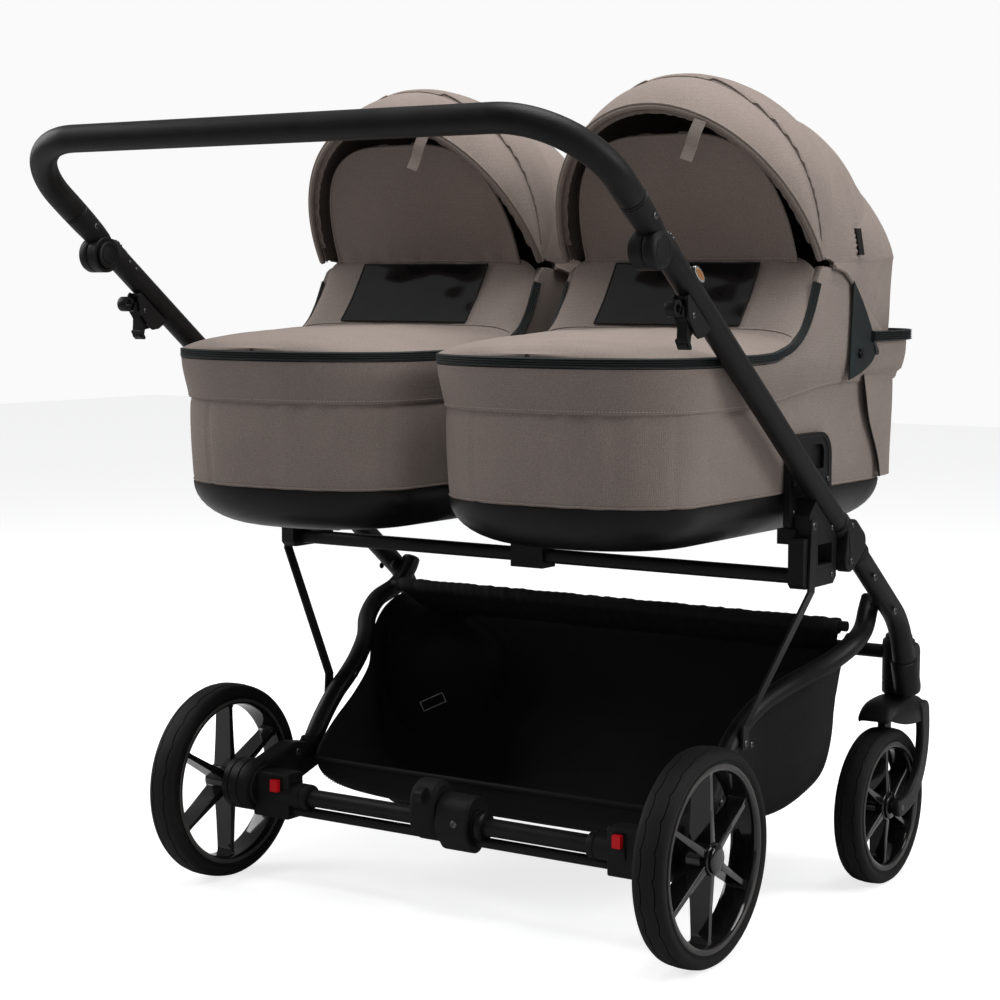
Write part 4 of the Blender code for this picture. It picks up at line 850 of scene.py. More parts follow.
for side in ("_R", "_L"):
    dress("seat_bracket" + side, CAST, 0.0014)
    dress("link" + side, POWDER, 0.0005)
    dress("red_button" + side, RED, 0.001)
dress("centre_mount", CAST, 0.0014)
oval_bar = [(0.00885 * signed(a, 0.62), 0.01 * signed(b, 0.62)) for a, b in ring_of(1.0, 40)]
cross_bar = strip([(-0.3717, 0.19, 0.4235), (0.3717, 0.19, 0.4235)], oval_bar, (0, 0, 1))
add("cross_bar_oval", cross_bar, "upper_frame", POWDER, ("upper_cross_bar",), slot="matt_black")
both("link_rivets", joined(rivet((0.3952, 0.1866, 0.4842), radius=0.0048),
                           rivet((0.3176, 0.17, 0.221), radius=0.0045)), "strap", STEEL)
both("bracket_rivets", joined(rivet((0.392, 0.2405, 0.478), radius=0.0038),
                              rivet((0.392, 0.2405, 0.422), radius=0.0034)), "upper_frame", STEEL)


# Rear frame

LEG_R = 0.0125
LEG_X = TUBE_X - TUBE_R - LEG_R - 0.0003
LEG = [(LEG_X, 0.419, 0.372), (LEG_X, 0.409, 0.356), (0.3655, 0.386, 0.334), (0.368, 0.346, 0.3195),
       (0.354, 0.305, 0.3), (0.328, 0.267, 0.28), (0.309, 0.226, 0.26), (0.3015, 0.193, 0.24),
       (0.3, 0.164, 0.22), (0.3, 0.135, 0.19), (0.3, 0.113, 0.16), (0.3, 0.104, 0.147)]
leg_path = curve(LEG, 6)
leg_radii = [0.0112] + [LEG_R] * (len(leg_path) - 1)
both("rear_leg_bent", tube(leg_path, leg_radii, sides=48), "rear_frame", POWDER, ("rear_leg",),
     slot="matt_black")
foot = Vector(LEG[-1])
rise = (Vector(LEG[-2]) - foot).normalized()
AXLE_TUBE_Z, ROD_Z, WHEEL_Z = 0.119, 0.0995, REAR_WHEEL.z
BAR = Vector((0, 0.365, 0.34))
drum = lathe([(0, 0.03), (0.0012, 0.0325), (0.003, 0.033), (0.014, 0.033), (0.0146, 0.0318),
              (0.016, 0.0318), (0.0166, 0.033), (0.029, 0.033), (0.0296, 0.0318), (0.031, 0.0318),
              (0.0316, 0.033), (0.0395, 0.033), (0.041, 0.0312)], (0.29, 0, WHEEL_Z), steps=64)
sleeve = lathe([(-0.004, 0.015), (0.018, 0.016), (0.0195, 0.0156), (0.02, 0.014)], foot, rise, 48)
stub = lathe([(0, 0.006), (0.036, 0.006)], (0.3295, 0, WHEEL_Z))
neck = lathe([(0, 0.0138), (0.0008, 0.016), (0.004, 0.0165), (0.009, 0.0165), (0.0096, 0.0156),
              (0.0108, 0.0156), (0.0114, 0.0165), (0.054, 0.0165)], (0.208, 0, AXLE_TUBE_Z), steps=48)
both("axle_drum", joined(drum, sleeve, stub, neck), "rear_frame", CAST, ("axle_housing",),
     slot="satin_plastic")
arm = prism(hull([(0, WHEEL_Z, 0.026), (0.066, 0.146, 0.024), (foot.y, foot.z, 0.0162)], 48), 0.2862, 0.3138)
box = block(0.2362, 0.294, -0.0134, 0.0178, ROD_Z - 0.0108, 0.1468)
both("axle_arm", joined(arm, box), "rear_frame", CAST, bevel=0.0026, slot="satin_plastic")
plate = belt([(0.012, 0.132, 0.013), (0.04, 0.142, 0.014), (0.068, 0.152, 0.012)], 6, 12)
both("axle_arm_plate", prism(plate, 0.2853, 0.2864), "rear_frame", PLASTIC, bevel=0.0004)
BUTTON_X, BUTTON_Z = 0.2536, 0.1322
bezel = []
for dx, dz, wide, high in ((0, 0.0086, 0.015, 0.0018), (0, -0.0086, 0.015, 0.0018),
                           (0.0062, 0, 0.003, 0.019), (-0.0062, 0, 0.003, 0.019)):
    x, z = BUTTON_X + dx, BUTTON_Z + dz
    bezel.append(block(x - wide / 2, x + wide / 2, -0.0148, -0.0128, z - high / 2, z + high / 2))
both("button_bezel", joined(*bezel), "rear_frame", PLASTIC, bevel=0.0004)
screws = joined(rivet((0.314, 0.068, 0.158), radius=0.0052), rivet((0.314, 0.082, 0.135), radius=0.004),
                rivet((0.286, 0.068, 0.158), (-1, 0, 0), 0.005), rivet((0.3165, 0.113, 0.16), radius=0.0042),
                rivet((0.3125, 0.194, 0.215), radius=0.0042),
                rivet((0.2884, 0.194, 0.2405), (-1, 0, 0), 0.0042))
both("rear_rivets", screws, "rear_frame", STEEL)
bar("axle_tube_round", "rear_frame", 0.2578, 0, AXLE_TUBE_Z, 0.011, 48, "rear_axle_tube")
bar("brake_rod_round", "rear_frame", 0.2498, 0, ROD_Z, 0.0065, 36, "brake_rod")
bar("basket_bar_round", "rear_frame", 0.3537, BAR.y, BAR.z, 0.0065, 36, "basket_front_bar")

BRAKE_LEFT, BRAKE_RIGHT = -0.038, 0.061
SADDLE_HOLLOW = 0.0168
body = prism(hull([(0, AXLE_TUBE_Z, 0.0268), (0, AXLE_TUBE_Z + 0.012, 0.0238), (0, ROD_Z, 0.015)], 48),
             0.0004, BRAKE_RIGHT - 0.014)
under_part = prism(hull([(0, ROD_Z + 0.001, 0.0085), (0, AXLE_TUBE_Z - 0.006, 0.01)], 40), BRAKE_LEFT, 0.002)
add("brake_casting", joined(body, under_part), "rear_frame", CAST, ("brake_housing",), bevel=0.003,
    slot="satin_plastic")
flange = lathe([(0, 0.0185), (0.004, 0.019), (0.0046, 0.0172), (0.006, 0.0172), (0.0066, 0.0186),
                (0.011, 0.0186), (0.0128, 0.017), (0.014, 0.014)],
               (BRAKE_RIGHT - 0.014, 0, AXLE_TUBE_Z), steps=56)
core = lathe([(0, 0.014), (0.001, 0.016), (0.0384, 0.016)], (BRAKE_LEFT, 0, AXLE_TUBE_Z), steps=48)
add("brake_flange", joined(flange, core), "rear_frame", PLASTIC, slot="satin_plastic")
add("brake_screw", rivet((0.03, -0.0262, AXLE_TUBE_Z + 0.004), (0, -1, 0), 0.0045), "rear_frame", STEEL)


def brake_saddle():
    """A rubbery saddle: hollow below, waisted, with a rounded foot rest on top."""
    turns = [radians(-38 + 8 * k) for k in range(33)]
    outer, inner = [], []
    for i in range(17):
        x = BRAKE_LEFT + 0.0012 + 0.0366 * i / 16
        edge = min(i, 16 - i) / 16
        full = min(1.0, 0.9 + 0.8 * edge) if edge < 0.125 else 1.0
        row = []
        for turn in turns:
            lean = max(0.0, sin(turn))
            reach = 0.0264 + 0.0232 * lean ** 3.2
            y = reach * cos(turn) * (1 + 0.02 * lean) - 0.003 * lean
            z = AXLE_TUBE_Z + reach * sin(turn) * (full if lean > 0.4 else 1)
            row.append(Vector((x, y * full, z)))
        outer.append(row)
        inner.append([Vector((x, SADDLE_HOLLOW * cos(t), AXLE_TUBE_Z + SADDLE_HOLLOW * sin(t)))
                      for t in turns])
    return shell(outer, inner)


add("brake_saddle", brake_saddle(), "pedal", TYRE, ("brake_pedal",), bevel=0.0008, slot="grip")
leaf = belt([(-0.0275, 0.145, 0.0015), (-0.0245, 0.153, 0.0052), (-0.018, 0.1605, 0.0012)], 8, 6)
add("saddle_leaf", grid([[Vector((x, y - 0.0027, z)) for y, z in leaf] for x in (-0.0244, -0.0136)],
                        True, True), "pedal", GRIP, bevel=0.0004)


# Cut a shape with another

def cut(mesh, *tools):
    holder = bpy.data.objects.new("holder", mesh)
    scene.collection.objects.link(holder)
    helpers = [holder]
    for tool in tools:
        helper = bpy.data.objects.new("tool", tool)
        scene.collection.objects.link(helper)
        helpers.append(helper)
        step = holder.modifiers.new("cut", "BOOLEAN")
        step.operation = "DIFFERENCE"
        step.solver = "EXACT"
        step.object = helper
    result = bpy.data.meshes.new_from_object(holder.evaluated_get(bpy.context.evaluated_depsgraph_get()))
    for helper in helpers:
        bpy.data.objects.remove(helper, do_unlink=True)
    return result


# Carrycots, drawn about their own centre line x = 0

COT_X = 0.197
TRAY_TOP, TUB_LOW, HEAD_RIM = 0.52, 0.5195, 0.702
COT_FOOT, COT_HEAD, HEAD_LEAN = -0.112, 0.515, 0.045
FOOT_ROUND, HEAD_ROUND = 0.1, 0.11
TUB_HALF, RIM_HALF = 0.162, 0.1735
HINGE = Vector((0, 0.24, 0.785))
CREASE = Vector((0, 0.1775, 0.712))
RIM_KEYS = ((COT_FOOT - 1, 0.683), (0.095, 0.683), (0.13, 0.6845), (0.168, 0.693), (0.1925, 0.706),
            (0.2105, 0.724), (0.228, 0.755), (0.24, 0.785), (0.262, 0.785), (0.3, 0.779), (0.345, 0.75),
            (0.372, 0.722), (0.39, 0.706), (0.41, HEAD_RIM), (COT_HEAD + 1, HEAD_RIM))


def between(keys, at):
    for (a, va), (b, vb) in zip(keys, keys[1:]):
        if at <= b:
            return va + (vb - va) * max(0.0, (at - a) / (b - a))
    return keys[-1][1]


def rim_height(y):
    return sum(between(RIM_KEYS, y + 0.004 * k) for k in (-2, -1, 0, 1, 2)) / 5


def ease(value):
    value = min(max(value, 0.0), 1.0)
    return value * value * (3 - 2 * value)


def dent(distance, width):
    return exp(-(distance / width) ** 2)


def arch(value):
    """Rises from 0 at 0 to 1 halfway and falls to 0 again at 1."""
    return sin(pi * min(max(value, 0.0), 1.0))


def ripple(*place):
    return noise.noise(Vector(place))


def plan(half, foot, head):
    """A carrycot's outline from above, from the middle of its foot round to its right."""
    quarter, straight = 40, 56
    right = []
    for k in range(quarter + 1):
        x, y = superellipse(pi / 2 * k / quarter, 2.3)
        right.append((half * x, foot + FOOT_ROUND * (1 - y)))
    low, high = foot + FOOT_ROUND, head - HEAD_ROUND
    right += [(half, low + (high - low) * k / straight) for k in range(1, straight)]
    for k in range(quarter, -1, -1):
        x, y = superellipse(pi / 2 * k / quarter, 2.6)
        right.append((half * x, head - HEAD_ROUND * (1 - y)))
    return right + [(-x, y) for x, y in reversed(right[1:-1])]


def outward(outline, i):
    a, b = outline[i - 1], outline[(i + 1) % len(outline)]
    return Vector((b[1] - a[1], a[0] - b[0], 0)).normalized()


OUTLINE = plan(TUB_HALF, COT_FOOT, COT_HEAD)
OUTS = [outward(OUTLINE, i) for i in range(len(OUTLINE))]


def cot_tray():
    """The tray's bowl, as (inset, height) from the flat bottom up."""
    levels = [(0.06 * (1 - sqrt(1 - part * part)), TRAY_TOP - 0.052 * part)
              for part in (1.0, 0.985, 0.95, 0.9, 0.82, 0.72, 0.6, 0.46, 0.32, 0.18, 0.06, 0.0)]
    levels.append((0.0015, TRAY_TOP + 0.0012))
    return grid([[Vector((x, y, z)) for x, y in plan(TUB_HALF - inset, COT_FOOT + inset, COT_HEAD - inset)]
                 for inset, z in levels], True, True)


def side_plate():
    """The D-shaped latch housing, with an arched window and a recessed face."""
    middle, top, out = 0.2255, 0.562, 0.165
    plate = hull([(middle - 0.026, top, 0.028), (middle + 0.026, top, 0.028), (0.177, 0.4865, 0.006),
                  (0.274, 0.4865, 0.006)], 40)
    window = hull([(middle + 0.0095, 0.5655, 0.0105), (middle + 0.0245, 0.5655, 0.0105),
                   (middle + 0.001, 0.5475, 0.001), (middle + 0.033, 0.5475, 0.001)], 32)
    face = hull([(middle - 0.022, top, 0.0235), (middle + 0.022, top, 0.0235), (0.183, 0.52, 0.003),
                 (0.268, 0.52, 0.003)], 36)
    return cut(prism(plate, out, out + 0.0093), prism(face, out + 0.0083, out + 0.02),
               prism(window, out + 0.003, out + 0.02))


def band_seam(y):
    return 0.625 + 0.0206 * ease((y - 0.08) / 0.23)


def leaning(x, y, z, out, puff):
    """A point on the outline at a height: the tub widens upwards and its head end leans."""
    grow = 0.0025 * ease((z - 0.52) / 0.09) + 0.0085 * ease((z - 0.62) / 0.062)
    place = Vector((x, y, z)) + out * (grow + puff)
    rise = min(max((z - TRAY_TOP) / (HEAD_RIM - TRAY_TOP), 0), 1)
    place.y += HEAD_LEAN * rise * ease((y - 0.3) / 0.2)
    return place


def wall(t, i, lift=0.0):
    """One point of the fabric tub: t = 0 at the tray, 1 at the band seam and 2 at the rim."""
    (x, y), out = OUTLINE[i], OUTS[i]
    seam, rim = band_seam(y), rim_height(y)
    if t <= 1:
        z = TUB_LOW + (seam - TUB_LOW) * t
        puff = 0.0016 * arch(t) ** 0.7
    else:
        z = seam + (rim - seam) * (t - 1)
        puff = 0.0016 + 0.0018 * arch(t - 1) ** 0.7
    puff -= 0.0012 * max(0.0, 1 - t / 0.12)
    if t < 1:
        puff -= 0.001 * ease((t - 0.9) / 0.1)
        side = x / TUB_HALF
        gathers = 0.0014 * sin(side * 26 + 1.2) * dent(side - 0.35, 0.42) * (0.35 + 0.65 * t)
        darts = 0.0016 * dent(side + 0.5, 0.018) + 0.0012 * dent(side - 0.93, 0.02)
        puff += (gathers - darts) * ease((0.02 - y) / 0.08)
    if z > 0.6545:
        puff += 0.0036 * ease((y - 0.352) / 0.012)
    wave = 0.0016 * ripple(x * 9, y * 9, z * 11) + 0.0005 * ripple(x * 31, y * 31, z * 24)
    return leaning(x, y, z, out, puff + wave * (0.4 + 0.6 * sin(pi * t / 2)) + lift)


def tub():
    """The padded fabric tub: lower panel, band and rim, with its inner wall and floor."""
    heights = [0, 0.02, 0.05, 0.09] + [0.09 + 0.83 * k / 14 for k in range(1, 15)]
    heights += [0.945, 0.965, 0.98, 0.99, 1.0, 1.0001, 1.02, 1.05, 1.09, 1.15, 1.22, 1.3, 1.38, 1.46]
    heights += [1.54, 1.62, 1.7, 1.78, 1.86, 1.93, 1.97, 2.0]
    rings = [[wall(t, i) for i in range(len(OUTLINE))] for t in heights]
    top = rings[-1]
    rings.append([p - out * 0.004 + Vector((0, 0, 0.0012)) for p, out in zip(top, OUTS)])
    rings.append([p - out * 0.0105 for p, out in zip(top, OUTS)])
    rings += [[leaning(x, y, z, out, -0.0125) for (x, y), out in zip(OUTLINE, OUTS)] for z in (0.62, 0.54)]
    return grid(rings, True, True)


def on_wall(height, start, end, lift):
    """A path round the tub at a height given by y, from one share of its outline to another."""
    count = len(OUTLINE)
    path = []
    for i in range(round(start * count), round(end * count) + 1):
        y = OUTLINE[i % count][1]
        z, seam, rim = height(y), band_seam(y), rim_height(y)
        t = (z - TUB_LOW) / (seam - TUB_LOW) if z < seam else 1.0001 + (z - seam) / (rim - seam)
        place = wall(t, i % count, lift)
        place.z = z
        path.append(place)
    return path


def share_of(y):
    """How far round the outline, from the middle of the foot, its right side reaches y."""
    return next(i for i, place in enumerate(OUTLINE) if place[1] >= y) / len(OUTLINE)


def zip_section(high, deep, ribs):
    """Ribbed lengthwise: (up, out) points of a zip seen end on."""
    face = [(high * (k / (4 * ribs) - 0.5), deep * (0.72 - 0.28 * cos(pi * k / 2)))
            for k in range(4 * ribs + 1)]
    return [(-high / 2, -0.001)] + face + [(high / 2, -0.001)]


def around(path, section):
    """Carries an (up, out) section along a path that runs round the tub anticlockwise."""
    rings = []
    for point, tangent, up, _ in frames(path, (0, 0, 1)):
        outer = tangent.cross(up)
        if CREASE.y - 0.02 < point.y < HINGE.y:
            lean = 0.8 * ease((point.y - CREASE.y + 0.02) / 0.05)
            outer = outer + Vector((0, -lean, 0.4 * lean))
            outer = (outer - tangent * tangent.dot(outer)).normalized()
            up = outer.cross(tangent)
        rings.append([point + up * a + outer * b for a, b in section])
    return grid(rings, True, True)


# The apron with its window and the wind panel

FLAP_TOP = Vector((0, 0.2335, 0.791))
FLAP_NORMAL = Vector((0, -0.79, 0.61))
PANEL_LEAN = radians(22)

def flap_line(s):
    """The middle of the sloped flap, from the crease at 0 to the wind panel at 1."""
    point = CREASE.lerp(FLAP_TOP, s)
    return point + sin(pi * s) * Vector((0, 0.0025, -0.0012))


APRON_FOOT, APRON_HALF = COT_FOOT - 0.008, RIM_HALF - 0.001
APRON_MIDDLE = ((APRON_FOOT, 0.688), (-0.105, 0.6965), (-0.07, 0.7035), (-0.01, 0.7085), (0.06, 0.7115),
                (0.12, 0.7128), (0.15, 0.7122), (CREASE.y, CREASE.z))
APRON_STEPS = 26


def apron_rows():
    """The apron's cover: its round foot, its flat middle and, past the crease, the sloped flap."""
    across = [sin(pi / 2 * k / APRON_STEPS) for k in range(-APRON_STEPS, APRON_STEPS + 1)]
    straight = APRON_FOOT + FOOT_ROUND
    places = []
    for k in range(1, APRON_STEPS + 1):
        x, y = superellipse(pi / 2 * (k / APRON_STEPS) ** 1.5, 2.3)
        places.append((APRON_FOOT + FOOT_ROUND * (1 - y), APRON_HALF * x))
    places += [(straight + (0.17 - straight) * k / APRON_STEPS, APRON_HALF)
               for k in range(1, APRON_STEPS + 1)]
    rows = []
    for y, half in places:
        edge = rim_height(y) + 0.003
        crown = sum(between(APRON_MIDDLE, y + 0.006 * k) for k in (-1, 0, 1)) / 3 - edge
        row = []
        for a in across:
            x = half * a
            soft = 0.0022 * ripple(x * 13, y * 13, 3.1) + 0.0006 * ripple(x * 40, y * 40, 1.7)
            soft -= 0.001 * dent(y - CREASE.y, 0.01)
            soft *= (1 - a ** 6) * ease((y - APRON_FOOT) / 0.02)
            row.append(Vector((x, y, edge + crown * (1 - abs(a) ** 3.6) + soft)))
        rows.append(row)
    for k in range(22):
        s = k / 19
        middle = flap_line(s)
        half = RIM_HALF - 0.0015 - 0.004 * ease((s - 0.55) / 0.45)
        drop = min(rim_height(middle.y) + 0.0045 - middle.z, 0)
        rows.append([middle + Vector((half * a, 0.001 * abs(a) ** 12, drop * abs(a) ** 12))
                     + FLAP_NORMAL * 0.0011 * ripple(half * a * 22, s * 2.5, 6.2) for a in across])
    return rows


def window_rows():
    rows = []
    for k in range(25):
        s = 0.045 + 0.925 * k / 24
        row = []
        for a in (j / 16 for j in range(-16, 17)):
            lift = 0.0024 + 0.0016 * (1 - a * a) * arch(s) + 0.0007 * ripple(a * 2.5, s * 3, 5)
            row.append(flap_line(s) + Vector((0.1 * a, 0, 0)) + FLAP_NORMAL * lift)
        rows.append(row)
    return rows


def panel_point(up, x, bulge):
    y = 0.234 - up * sin(PANEL_LEAN) - bulge * cos(PANEL_LEAN)
    z = 0.7915 + up * cos(PANEL_LEAN) - bulge * sin(PANEL_LEAN)
    return Vector((x, y, z))


def panel_rows():
    """The round wind panel, puckered along its foot."""
    rows = []
    for k in range(37):
        turn = pi / 2 * k / 36.6
        half, up = 0.1455 * cos(turn) ** 0.55, 0.161 * sin(turn) ** 0.9
        row = []
        for j in range(-24, 25):
            x = half * sin(pi / 2 * j / 24)
            soft = 0.003 * ripple(x * 11, up * 11, 8.3) + 0.0035 * (1 - (x / 0.15) ** 2) * arch(up / 0.16)
            row.append(panel_point(up, x, soft + 0.001 * sin(x * 190) * dent(up, 0.02)))
        rows.append(row)
    return rows


# Hood

HOOD_FRONT, HOOD_LAYER, HOOD_LAST = 121.4, 98.6, 2.0
HOOD_KEYS = ((HOOD_LAST, 0.338), (22.0, 0.285), (45.0, 0.244), (62.0, 0.2185), (80.0, 0.2185),
             (HOOD_LAYER, 0.2246), (HOOD_FRONT, 0.2146))
HOOD_POWERS = ((HOOD_LAST, 3.2), (22.0, 2.45), (80.0, 2.17), (HOOD_FRONT, 1.98))
HOOD_TURN = radians(88.5)
HOOD_HALF = 0.1762
HEM_OUT = 0.005
HOOD_STEPS, SKIRT_STEPS = 150, 24
HOOD_ANGLES = [HOOD_FRONT - (HOOD_FRONT - HOOD_LAST) * k / HOOD_STEPS for k in range(HOOD_STEPS + 1)]
HOOD_PARTS = [k / 50 for k in range(-50, 51)]


def hood_reach(angle):
    spread = 2.5 if angle < 117 else 0
    return sum(between(HOOD_KEYS, angle + spread * k) for k in (-1, 0, 1)) / 3


def hood_point(angle, part, lift=0.0):
    """A point on the hood: part runs from -1 at the left hinge to 1 at the right."""
    x, out = superellipse(HOOD_TURN * part, between(HOOD_POWERS, angle))
    reach, turn = (hood_reach(angle) + lift) * out, radians(angle)
    return HINGE + Vector(((HOOD_HALF + lift) * x, reach * cos(turn), 0.004 + reach * sin(turn)))


def hem_point(part, lift):
    x, out = superellipse(HOOD_TURN * part, 2.9)
    start = HINGE.y + 0.004
    y = start + (COT_HEAD + HEAD_LEAN + HEM_OUT + lift - start) * out
    return Vector(((RIM_HALF + HEM_OUT + lift) * x, y, rim_height(y) + 0.0015))


def seam_one(p):
    return p.y - (0.343 + 0.03 * (p.z - 0.735))


def seam_two(p):
    return p.y - (0.385 + 0.034 * ease((p.z - 0.705) / 0.085))


def layer_edge(part):
    """The angle at which the hood's rear layer ends, over the front panel."""
    return HOOD_LAYER - 11.0 * abs(part) ** 2.5


def hood_rows(lift=0.0):
    """The hood's sheet: arches from the front to the last, then a skirt down to the hem."""
    rows = [[hood_point(angle, part, lift) for part in HOOD_PARTS] for angle in HOOD_ANGLES]
    last, hem = rows[-1], [hem_point(part, lift) for part in HOOD_PARTS]
    for share in (k / SKIRT_STEPS for k in range(1, SKIRT_STEPS + 1)):
        rows.append([a.lerp(b, share) + Vector((0, 0.003 * arch(share) * abs(a.y - HINGE.y) / 0.33, 0))
                     for a, b in zip(last, hem)])
    return rows


def soft_hood():
    """The outer sheet, drawn in along its seams, with its two layers and soft folds."""
    rows = hood_rows()
    for r, row in enumerate(rows):
        angle = HOOD_ANGLES[min(r, HOOD_STEPS)]
        for c, p in enumerate(row):
            one, two, front = seam_one(p), seam_two(p), layer_edge(HOOD_PARTS[c]) - angle
            push = 0.0036 * ripple(p.x * 7, p.y * 7, p.z * 9) + 0.0011 * ripple(p.x * 26, p.y * 30, p.z * 13)
            if r <= HOOD_STEPS:
                push += 0.0034 * ease(front / 1.2) * (1 - 0.7 * ease(front / 30))
                push += 0.0034 * arch((HOOD_FRONT - angle) / (HOOD_FRONT - HOOD_LAYER))
                if front > 0 > one:
                    push += 0.004 * arch(front / 34)
            if one > 0 > two:
                push += 0.003 * arch(one / (one - two))
            if two > 0:
                push += 0.004 * arch(two / 0.14)
            push *= 1 - abs(HOOD_PARTS[c]) ** 4
            push -= 0.0032 * dent(one, 0.0042) + 0.003 * dent(two, 0.0042)
            away = Vector((p.x * 0.9, p.y - HINGE.y - 0.05, p.z - HINGE.z)).normalized()
            row[c] = p + away * push
    return rows


def trace(rows, test, lift):
    """Where a test changes sign along each column of a sheet, moved out by lift."""
    path = []
    for c in range(len(rows[0])):
        for r in range(len(rows) - 1):
            a, b = rows[r][c], rows[r + 1][c]
            fa, fb = test(a), test(b)
            if fa <= 0 < fb:
                place = a.lerp(b, fa / (fa - fb))
                path.append(place + (place - HINGE - Vector((0, 0.05, 0))).normalized() * lift)
                break
    return path


def gathered_lining():
    """A short ruffled strip under the front hem."""
    tilt = radians(31)
    forward = Vector((0, cos(tilt), sin(tilt)))
    rows = []
    for share in (0, 0.25, 0.5, 0.75, 1):
        row = []
        for j in range(201):
            part = -0.93 + 1.86 * j / 200
            ruffle = 0.0011 * share * sin(j * 0.95 + 1.5 * sin(j * 0.21))
            place = hood_point(HOOD_FRONT, part).lerp(hood_point(HOOD_FRONT, part, -0.01), share)
            row.append(place + forward * (0.0012 + 0.0014 * share + ruffle))
        rows.append(row)
    return thick(rows, 0.0012)


WING_OUT = 0.1795
WING_ARC = ((0.3195, 0.769), (0.333, 0.756), (0.348, 0.74), (0.363, 0.722), (0.376, 0.703),
            (0.383, 0.689), (0.3815, 0.678), (0.372, 0.669), (0.354, 0.661), (0.333, 0.6545),
            (0.3095, 0.6495))


def star(radius, low, high):
    """One step of the knob, with six soft points."""
    points = []
    for k, (a, b) in enumerate(ring_of(radius, 36)):
        reach = 0.86 + 0.14 * cos(pi * k / 3)
        points.append((0.338 + a * reach, 0.681 + b * reach))
    return prism(points, WING_OUT + low, WING_OUT + high)


def strap_loop():
    """The short strap that hangs from the hood's front arch, with a sewn box at its end."""
    top, end = Vector((0.074, 0.13, 0.953)), Vector((0.0585, 0.1235, 0.9075))
    across = (end - top).cross(Vector((0, 1, 0))).normalized() * 0.0078
    path = curve([top, top.lerp(end, 0.35) + Vector((0, -0.0018, 0)),
                  top.lerp(end, 0.7) + Vector((0, 0.0006, 0)), end], 8)
    strap = thick([[p + across * a for a in (-1, -0.5, 0, 0.5, 1)] for p in path], 0.0018)
    low, high = (path[i] + Vector((0, -0.0004, 0)) for i in (-11, -2))
    box = [low - across * 0.72, low + across * 0.72, high + across * 0.72, high - across * 0.72]
    lines = [stitches([box[a], box[b]], 0.003) for a, b in ((0, 1), (1, 2), (2, 3), (3, 0), (0, 2), (1, 3))]
    return strap, joined(*lines)


def moved(mesh, sign):
    copy = mesh.copy()
    copy.transform(Matrix.Translation((sign * COT_X, 0, 0)))
    return copy


tray = cot_tray()
plate = side_plate()
plates = joined(plate, mirrored(plate))
plate_screws = joined(*(rivet((side * 0.1743, y, z), (side, 0, 0), 0.0032, 0.0009) for side in (1, -1)
                        for z in (0.533, 0.499) for y in (0.27, 0.182)))
fabric = tub()
seam_path = on_wall(lambda y: band_seam(y) + 0.0028, 0, 0.999, 0.0004)
band_stitches = stitches(seam_path, 0.004)
tub_hem = tube(on_wall(lambda y: 0.523, 0, 0.999, 0.0002), 0.0011, (0, 0, 1), 8)
reach = share_of(0.232)
zip_main = on_wall(lambda y: rim_height(y) - 0.0025, -reach, reach, -0.0005)
start = share_of(0.3545)
zip_head = on_wall(lambda y: min(0.701, rim_height(y) - 0.001), start, 1 - start, 0.0036)
main_tape = around(zip_main, zip_section(0.0105, 0.0026, 4))
head_tape = around(zip_head, zip_section(0.013, 0.004, 5))
piping = tube([p - Vector((0, 0, 0.0062)) for p in zip_main], 0.0011, (0, 0, 1), 10)

apron = apron_rows()
apron_cover = thick(apron, 0.0035)
crease = tube([p + Vector((0, -0.0003, 0.0004)) for p in apron[2 * APRON_STEPS][3:50]], 0.0007, (0, 1, 0), 8)
film = window_rows()
film_sides = [row[-1] for row in film[1:]], [row[0] for row in film[:-1]]
film_edge = film[0] + film_sides[0] + film[-1][-2::-1] + film_sides[1][::-1]
film_border = tube(film_edge, 0.001, FLAP_NORMAL, 8)
film_sheet = thick(film, 0.0008)
panel = panel_rows()
wind_panel = thick(panel, 0.0045)
panel_rim = [row[0] for row in panel] + [row[-1] for row in reversed(panel)]
panel_binding = tube([p + Vector((0, 0.0015, 0)) for p in panel_rim], 0.0024, (0, 1, 0), 12)
base_line = [panel_point(0.0042, 0.146 * k / 40, 0.001) for k in range(-40, 41)]
base_stitches = stitches([p + Vector((0, -0.0009, 0.0002)) for p in base_line])

hood = soft_hood()
canopy_sheet = thick(hood, 0.0026)
lining_sheet = thick(hood_rows(-0.005), 0.001)
front_arch = [hood_point(HOOD_FRONT, k / 60) for k in range(-60, 61)]
arch_turn = radians(HOOD_FRONT - 90)
to_foot = -Vector((0, cos(arch_turn), sin(arch_turn)))
hem_tube = tube([p + to_foot * 0.001 for p in front_arch], 0.0034, (0, 0.5, 1), 16)
hem_cord = tube([p + (p - HINGE).normalized() * 0.0042 + to_foot * 0.0006 for p in front_arch],
                0.0016, (0, 0.5, 1), 12)
front_hem = joined(hem_tube, hem_cord)
ruffle = gathered_lining()
seam_tubes = joined(*(tube(trace(hood, seam, -0.0004), 0.0006, (0, 1, 0), 8)
                      for seam in (seam_one, seam_two)))
visor_edge = []
for c in range(3, len(HOOD_PARTS) - 3):
    behind = (HOOD_FRONT - layer_edge(HOOD_PARTS[c]) + 0.6) / (HOOD_FRONT - HOOD_LAST)
    p = hood[round(behind * HOOD_STEPS)][c]
    visor_edge.append(p + (p - HINGE).normalized() * 0.0004)
visor_tube = tube(visor_edge, 0.0013, (0, 1, 0), 10)
hem_roll = tube([hem_point(k / 60, 0.0004) for k in range(-60, 61)], 0.0026, (0, 0, 1), 12)
wing = prism(curve(WING_ARC, 4), WING_OUT, WING_OUT + 0.002)
wings = joined(wing, mirrored(wing))
knob = joined(star(0.0066, 0, 0.0056), star(0.003, 0.005, 0.0068))
knobs = joined(knob, mirrored(knob))
side_row = stitches([Vector((0.1747, 0.3165 - 0.01 * k / 20, 0.767 - 0.1165 * k / 20)) for k in range(21)],
                    0.0038)
